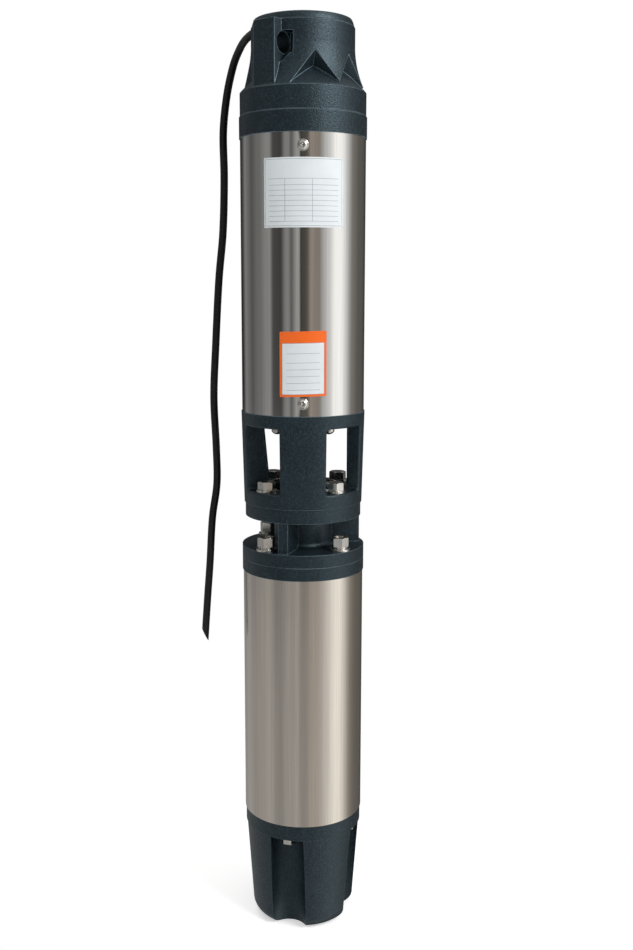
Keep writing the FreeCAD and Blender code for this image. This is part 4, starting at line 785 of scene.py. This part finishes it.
    def camera(self) -> None:
        """Set up the camera at the photograph's viewing angle."""
        lens = bpy.data.cameras.new("camera")
        lens.lens = self.lens
        lens.sensor_width = self.film
        lens.shift_x = self.shift
        camera = bpy.data.objects.new("camera", lens)
        camera.location = self.camera_place
        camera.rotation_euler = (math.radians(90 - self.camera_tilt), 0.0, 0.0)
        bpy.context.scene.collection.objects.link(camera)
        bpy.context.scene.camera = camera

    def build(self) -> None:
        """Set up the whole studio."""
        bpy.context.scene.view_settings.view_transform = "Standard"
        self.camera()
        self.world()
        self.floor()
        for lamp in self.lamps:
            lamp.build()
        LOG.info("studio: camera, wall, floor and %d lamps", len(self.lamps))


def add_piece(name: str, shape: bmesh.types.BMesh, dress: Dress, finish: Finish | None = None,
              smooth_below: float = 35.0) -> bpy.types.Object:
    """Turn a bmesh into a dressed piece that rides on the pump's still body.

    Args:
        name: The piece's name.
        shape: The finished bmesh, in place, which is freed.
        dress: The material slot whose finish it takes.
        finish: Its own finish, where that isn't the slot's.
        smooth_below: Edges flatter than this many degrees are shaded smooth.

    Returns:
        The new piece.
    """
    bmesh.ops.recalc_face_normals(shape, faces=shape.faces)
    limit = math.radians(smooth_below)
    for face in shape.faces:
        face.smooth = True
    for edge in shape.edges:
        edge.smooth = len(edge.link_faces) == 2 and edge.calc_face_angle(0.0) < limit
    mesh = bpy.data.meshes.new(name)
    shape.to_mesh(mesh)
    shape.free()
    mesh.materials.append((finish or dress.value).material())
    piece = bpy.data.objects.new(name, mesh)
    bpy.context.scene.collection.objects.link(piece)
    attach(piece, BODY)
    LOG.info("piece %s on %s", name, BODY)
    return piece


def pour(part: bmesh.types.BMesh, whole: bmesh.types.BMesh) -> list[Any]:
    """Add one bmesh to another.

    Args:
        part: The bmesh to add, which is freed.
        whole: The bmesh that takes it.

    Returns:
        The added corners.
    """
    start = len(whole.verts)
    mesh = bpy.data.meshes.new("part")
    part.to_mesh(mesh)
    part.free()
    whole.from_mesh(mesh)
    bpy.data.meshes.remove(mesh)
    whole.verts.ensure_lookup_table()
    return whole.verts[start:]


def open_edges(shape: bmesh.types.BMesh) -> list[Any]:
    """Find the edges of a bmesh that only one face meets."""
    return [edge for edge in shape.edges if len(edge.link_faces) == 1]


def smooth_route(route: tuple[Point, ...], steps: int) -> list[Vector]:
    """Draw a smooth line through the points of a route.

    Args:
        route: The points, in millimetres.
        steps: Points on the line from each to the next.

    Returns:
        The points of the line, in metres.
    """
    knots = [Vector(point) * MM for point in route]
    knots = [2 * knots[0] - knots[1], *knots, 2 * knots[-1] - knots[-2]]
    line = []
    for before, start, end, after in zip(knots, knots[1:], knots[2:], knots[3:]):
        for step in range(steps):
            t = step / steps
            line.append(0.5 * (2 * start + (end - before) * t
                               + (2 * before - 5 * start + 4 * end - after) * t ** 2
                               + (3 * start - before - 3 * end + after) * t ** 3))
    return [*line, knots[-2]]


def tube(line: list[Vector], radius: float, sides: int) -> bmesh.types.BMesh:
    """Sweep a circle along a line.

    Args:
        line: Points of the line.
        radius: Radius of the tube.
        sides: Corners of the circle.

    Returns:
        The tube, closed at its start and open at its end.
    """
    shape = bmesh.new()
    across = Vector((1.0, 0.0, 0.0))
    rings = []
    for place, point in enumerate(line):
        heading = (line[min(place + 1, len(line) - 1)] - line[max(place - 1, 0)]).normalized()
        across = (across - heading * across.dot(heading)).normalized()
        along = heading.cross(across)
        rings.append([
            shape.verts.new(point + radius * (math.cos(turn) * across + math.sin(turn) * along))
            for turn in (2 * math.pi * side / sides for side in range(sides))
        ])
    shape.faces.new(rings[0])
    for ring, after in zip(rings, rings[1:]):
        for side in range(sides):
            beside = (side + 1) % sides
            shape.faces.new((ring[side], ring[beside], after[beside], after[side]))
    return shape


@dataclass
class MotorLead:
    """The free end of the motor lead, which comes over from the back and hangs at the left.

    Attributes:
        diameter: Diameter of its rubber sheath.
        length: Length of the free end; not used.
        core: Radius of a copper core.
        core_ring: Distance of the cores from the sheath's centre.
        core_angles: Directions of the cores from that centre.
        core_run: Length of the cores that is modelled.
        cut: Direction that the slanting cut at its end faces.
        proud: How far the cores stand out of the cut.
        route: Its route from the guard's upper end down, in millimetres.
    """

    diameter: float = 0.009
    length: float = 0.88
    core: float = 0.0011
    core_ring: float = 0.0019
    core_angles: tuple[float, ...] = (90.0, 210.0, 330.0)
    core_run: float = 0.03
    cut: Point = (-0.894, 0.0, -0.447)
    proud: float = 0.0003
    route: tuple[Point, ...] = (
        (0, 77.5, 975), (2.5, 77.3, 997), (6.5, 76, 1021), (-3, 74, 1049), (-27, 71, 1064),
        (-52, 68, 1062), (-67, 65.5, 1051.5), (-76.5, 63, 1035), (-83, 61, 1016),
        (-89.5, 58.5, 985), (-93.6, 56.5, 945), (-93, 55, 893), (-95, 53, 832),
        (-100.5, 51.5, 775), (-105, 50, 700), (-108, 48.5, 636), (-105.8, 47, 575),
        (-105.5, 46, 530), (-111.5, 44.5, 487), (-115, 43, 432), (-118.6, 41.5, 386),
        (-122.5, 40, 332),
    )

    def cut_end(self, shape: bmesh.types.BMesh, tip: Vector) -> None:
        """Cut a tube's end on the slant and close it.

        Args:
            shape: The tube.
            tip: The point that the cut passes through.
        """
        bmesh.ops.bisect_plane(shape, geom=shape.verts[:] + shape.edges[:] + shape.faces[:],
                               plane_co=tip, plane_no=self.cut, clear_outer=True)
        bmesh.ops.edgeloop_fill(shape, edges=open_edges(shape))

    def build(self) -> None:
        """Hang the lead and show its three copper cores in the cut."""
        line = smooth_route(self.route, steps=8)
        sheath = tube(line, self.diameter / 2, sides=20)
        heading = (line[-1] - line[-2]).normalized()
        tip = line[-1] + Vector((self.diameter / 2, 0.0, 0.0))
        self.cut_end(sheath, tip)
        cores = bmesh.new()
        for angle in self.core_angles:
            turn = math.radians(angle)
            end = line[-1] + self.core_ring * Vector((math.cos(turn), math.sin(turn), 0.0))
            core = tube([end - heading * self.core_run, end], self.core, sides=12)
            self.cut_end(core, tip + self.proud * Vector(self.cut))
            pour(core, cores)
        wires = add_piece("lead_tail_cores", cores, Dress.copper)
        lead = add_piece("lead_tail_sheath", sheath, Dress.lead_rubber)
        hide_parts("lead_tail")


@dataclass
class ShellScrews:
    """The flanged button screws that hold the pump shell, with their cross recesses.

    Attributes:
        heights: Heights of the two rings of screws.
        angles: Angles of the screws round the pump.
        side: Half the outline of a screw, radius and height over the shell.
        slot: Half the width of the recess's arms.
        reach: Half the length of the recess's arms.
        depth: Depth of the recess.
        twist_round: Degrees that a recess is twisted for each degree round the pump.
        twist_up: Degrees of it for each metre of height, so that no two rings lie alike.
    """

    heights: tuple[float, ...] = (0.6394, 0.9169)
    angles: tuple[float, ...] = (0.0, 120.0, 240.0)
    side: tuple[Span, ...] = (
        (0.003, -0.0139), (0.003, 0.0), (0.0064, 0.0), (0.0064, 0.0009), (0.0062, 0.0012),
        (0.0054, 0.0013), (0.0052, 0.0019), (0.0047, 0.0027), (0.0040, 0.0034), (0.0031, 0.0039),
        (0.0025, 0.0041),
    )
    slot: float = 0.0005
    reach: float = 0.0021
    depth: float = 0.0016
    twist_round: float = 0.3
    twist_up: float = 900.0

    def cross(self, shape: bmesh.types.BMesh) -> list[Any]:
        """Draw the outline of the recess on the head's flat top.

        Args:
            shape: The screw.

        Returns:
            The outline's edges.
        """
        quarter = ((self.slot, self.reach), (self.slot, self.slot), (self.reach, self.slot))
        corners = [
            shape.verts.new((x * math.cos(turn) - y * math.sin(turn),
                             x * math.sin(turn) + y * math.cos(turn), self.side[-1][1]))
            for turn in (0.0, -math.pi / 2, -math.pi, -1.5 * math.pi) for x, y in quarter
        ]
        return [shape.edges.new(pair) for pair in zip(corners, corners[1:] + corners[:1])]

    def screw(self) -> bmesh.types.BMesh:
        """Turn one screw, with its head up and the recess in it.

        Returns:
            The screw, standing at the origin.
        """
        shape = bmesh.new()
        line = [shape.verts.new((radius, 0.0, height)) for radius, height in self.side]
        edges = [shape.edges.new(pair) for pair in zip(line, line[1:])]
        bmesh.ops.spin(shape, geom=line + edges, axis=UP, cent=ORIGIN, angle=2 * math.pi,
                       steps=32, use_merge=True)
        rims = open_edges(shape)
        rim = [edge for edge in rims if edge.verts[0].co.z > 0]
        bmesh.ops.edgeloop_fill(shape, edges=[edge for edge in rims if edge.verts[0].co.z < 0])
        cross = self.cross(shape)
        bmesh.ops.triangle_fill(shape, edges=rim + cross, use_beauty=True)
        inside = [face for face in cross[0].link_faces
                  if abs(face.calc_center_median().x) < self.slot
                  and abs(face.calc_center_median().y) < self.reach]
        bmesh.ops.delete(shape, geom=inside, context="FACES_ONLY")
        walls = bmesh.ops.extrude_edge_only(shape, edges=cross)["geom"]
        low = [part for part in walls if isinstance(part, bmesh.types.BMVert)]
        bmesh.ops.translate(shape, vec=(0.0, 0.0, -self.depth), verts=low)
        floor = [part for part in walls if isinstance(part, bmesh.types.BMEdge)
                 and all(corner in low for corner in part.verts)]
        bmesh.ops.triangle_fill(shape, edges=floor, use_beauty=True)
        return shape

    def build(self) -> None:
        """Set all the screws in the shell."""
        shape = bmesh.new()
        for height in self.heights:
            for angle in self.angles:
                corners = pour(self.screw(), shape)
                facing = Vector(around(1.0, angle, 0.0))
                turn = facing.to_track_quat("Z", "Y").to_matrix().to_4x4()
                seat = Matrix.Translation(around(SHELL, angle, height)) @ turn
                twist = math.radians(angle * self.twist_round + height * self.twist_up)
                bmesh.ops.transform(shape, matrix=seat @ Matrix.Rotation(twist, 4, "Z"),
                                    verts=corners)
        screws = add_piece("shell_button_screws", shape, Dress.fastener_steel)
        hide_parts("shell_screws")


@dataclass
class OutletThread:
    """The thread inside the outlet.

    Attributes:
        radius: Radius of the outlet's bore.
        height: Height of the outlet's rim.
        lead_in: Distance of the thread from the rim.
        pitch: Distance from crest to crest.
        flank: Height of a crest's flank, as a share of the pitch.
        turns: Turns of the thread.
        depth: How far the crests stand in from the bore.
        bedded: How far they reach into the bore's wall.
        steps: Facets of each turn.
    """

    radius: float = 0.0361
    height: float = 1.06165
    lead_in: float = 0.0025
    pitch: float = 0.002309
    flank: float = 0.42
    turns: int = 9
    depth: float = 0.0009
    bedded: float = 0.0001
    steps: int = 64

    def build(self) -> None:
        """Wind the thread's ridge down the bore."""
        shape = bmesh.new()
        top = self.height - self.lead_in
        half = self.pitch * self.flank
        root = self.radius + self.bedded
        section = ((root, top), (self.radius - self.depth, top - half), (root, top - 2 * half))
        corners = [shape.verts.new((radius, 0.0, height)) for radius, height in section]
        edges = [shape.edges.new(pair) for pair in zip(corners, corners[1:] + corners[:1])]
        bmesh.ops.spin(shape, geom=corners + edges, axis=UP, cent=ORIGIN,
                       dvec=(0.0, 0.0, -self.pitch / self.steps), angle=2 * math.pi * self.turns,
                       steps=self.turns * self.steps)
        bmesh.ops.edgenet_fill(shape, edges=open_edges(shape))
        add_piece("outlet_thread", shape, Dress.cast_paint, smooth_below=20.0)


@dataclass(frozen=True)
class Patch:
    """The outline of a plate, or of a line printed on one.

    Attributes:
        left: Its left edge, in degrees from the front.
        right: Its right edge, in degrees from the front.
        low: Height of its lower edge.
        high: Height of its upper edge.
    """

    left: float
    right: float
    low: float
    high: float

    def inside(self, margin: float) -> Patch:
        """Find the patch whose outline lies a margin inside this one."""
        turn = math.degrees(margin / SHELL)
        return Patch(self.left + turn, self.right - turn, self.low + margin, self.high - margin)


@dataclass
class BentSheet:
    """A thin plate, or the print on one, bent round the pump shell.

    Attributes:
        name: The piece's name.
        patches: The outlines that make it up.
        finish: Its finish.
        lift: Distance of its back from the shell.
        thickness: Its thickness.
        corner: Rounding of its corners.
        lean: Its slope, up towards its right.
        facet: Degrees round the shell of each of its facets.
    """

    name: str
    patches: tuple[Patch, ...]
    finish: Finish
    lift: float = 0.0
    thickness: float = 0.00008
    corner: float = 0.00012
    lean: float = 0.0
    facet: float = 2.5

    def cut_patch(self, patch: Patch) -> bmesh.types.BMesh:
        """Cut one patch flat, round its corners and bend it.

        Args:
            patch: The patch's outline.

        Returns:
            The patch as a thin sheet.
        """
        radius = SHELL + self.lift
        width = math.radians(patch.right - patch.left) * radius
        middle = math.radians((patch.right + patch.left) / 2)
        shape = bmesh.new()
        bmesh.ops.create_grid(shape, x_segments=1, y_segments=1, size=0.5)
        bmesh.ops.scale(shape, vec=(width, patch.high - patch.low, 1.0), verts=shape.verts)
        bmesh.ops.bevel(shape, geom=shape.verts[:], offset=self.corner, affect="VERTICES",
                        segments=4, profile=0.5, material=-1)
        steps = max(round((patch.right - patch.left) / self.facet), 1)
        for step in range(1, steps):
            across = width * (step / steps - 0.5)
            bmesh.ops.bisect_plane(shape, geom=shape.verts[:] + shape.edges[:] + shape.faces[:],
                                   plane_co=(across, 0.0, 0.0), plane_no=(1.0, 0.0, 0.0))
        bmesh.ops.solidify(shape, geom=shape.faces[:], thickness=self.thickness)
        level = (patch.high + patch.low) / 2
        for corner in shape.verts:
            turn = middle + corner.co.x / radius
            out = radius + abs(corner.co.z)
            rise = self.lean * radius * turn
            corner.co = (out * math.sin(turn), -out * math.cos(turn), level + corner.co.y + rise)
        return shape

    def build(self) -> None:
        """Make all the patches one piece."""
        whole = bmesh.new()
        for patch in self.patches:
            pour(self.cut_patch(patch), whole)
        add_piece(self.name, whole, Dress.shell_bright, self.finish)


@dataclass
class Plates:
    """The two plates on the front of the pump shell, each a blank form.

    Attributes:
        white: Printed white.
        orange: Warning orange.
        grey: The forms' fine lines.
        rating: Outline of the white plate.
        warning: Outline of the orange plate.
        panel: Outline of the white panel on the orange plate.
        lean: Slope of the orange plate, up towards its right.
        sheet: Thickness of a plate.
        ink: Thickness of the print on it.
        rounding: Rounding of a plate's corners.
        frame_line: Width of the line round a field.
        form_line: Width of a form's lines.
        line_rounding: Rounding of their ends.
    """

    white: Finish = PrintedPlate()
    orange: Finish = PrintedPlate("orange_plate", paint(236, 102, 24), (0.3, 0.4))
    grey: Finish = PrintedPlate("grey_print", paint(132, 146, 154))
    rating: Patch = Patch(-36.3, 37.5, 0.8309, 0.9046)
    warning: Patch = Patch(-21.2, 21.3, 0.6476, 0.7194)
    panel: Patch = Patch(-18.9, 19.2, 0.6500, 0.7067)
    lean: float = 0.024
    sheet: float = 0.0003
    ink: float = 0.00008
    rounding: float = 0.001
    frame_line: float = 0.0004
    form_line: float = 0.00035
    line_rounding: float = 0.00005

    def framed(self, name: str, outline: Patch, lean: float = 0.0) -> None:
        """Print a white field with a fine line round it.

        Args:
            name: Start of the pieces' names.
            outline: Outline of the line.
            lean: Slope of the plate, up towards its right.
        """
        BentSheet(f"{name}_line", (outline,), self.grey, self.sheet, self.ink, lean=lean).build()
        BentSheet(f"{name}_field", (outline.inside(self.frame_line),), self.white,
                  self.sheet + self.ink, self.ink, lean=lean).build()

    def form(self, name: str, box: Patch, rows: tuple[float, ...],
             columns: tuple[float, ...] = (), lean: float = 0.0) -> None:
        """Print the blank lines of a form.

        Args:
            name: The piece's name.
            box: The part of the plate that the form fills.
            rows: Heights of its rows, as shares of the box's height.
            columns: Places of its column lines, as shares of the box's width.
            lean: Slope of the plate, up towards its right.
        """
        half = self.form_line / 2
        turn = math.degrees(half / SHELL)
        heights = [box.low + (box.high - box.low) * row for row in rows]
        uprights = [box.left + (box.right - box.left) * column for column in columns]
        patches = [Patch(box.left, box.right, height - half, height + half) for height in heights]
        patches += [Patch(upright - turn, upright + turn, box.low, heights[-1])
                    for upright in uprights]
        BentSheet(name, tuple(patches), self.grey, self.sheet + 2 * self.ink, self.ink,
                  self.line_rounding, lean).build()

    def build(self) -> None:
        """Lay both plates on the shell, each with its frame and the blank lines of its form."""
        BentSheet("rating_plate", (self.rating,), self.white, 0.0, self.sheet,
                  self.rounding).build()
        self.framed("rating_plate", self.rating.inside(margin=0.0016))
        self.form("rating_plate_form", self.rating.inside(margin=0.0065), columns=(0.24, 0.62),
                  rows=(0.0, 0.09, 0.18, 0.27, 0.36, 0.45, 0.54, 0.63, 0.74))
        BentSheet("orange_plate", (self.warning,), self.orange, 0.0, self.sheet, self.rounding,
                  self.lean).build()
        self.framed("orange_plate", self.panel, self.lean)
        self.form("orange_plate_form", self.panel.inside(margin=0.005),
                  rows=(0.0, 0.16, 0.32, 0.48, 0.64, 0.86), lean=self.lean)


@dataclass
class Frame:
    """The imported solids, which stay where they are and get their finishes here.

    Attributes:
        nodes: The solids' objects by name.
    """

    nodes: dict[str, bpy.types.Object]

    def dress(self) -> None:
        """Give every solid the finish of its material slot."""
        for name, node in self.nodes.items():
            slots = node.material_slots
            for slot in slots:
                slot.material = Dress[slot.material.name.split(".")[0]].value.material()
            LOG.info("solid %s: %s", name, ", ".join(slot.material.name for slot in slots))


def main() -> None:
    """Load the frame, build the studio and dress the pump."""
    logging.basicConfig(level=logging.INFO, format="%(message)s")
    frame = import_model()
    Studio().build()
    Frame(frame["nodes"]).dress()
    MotorLead().build()
    ShellScrews().build()
    OutletThread().build()
    Plates().build()


if __name__ == "__main__":
    main()
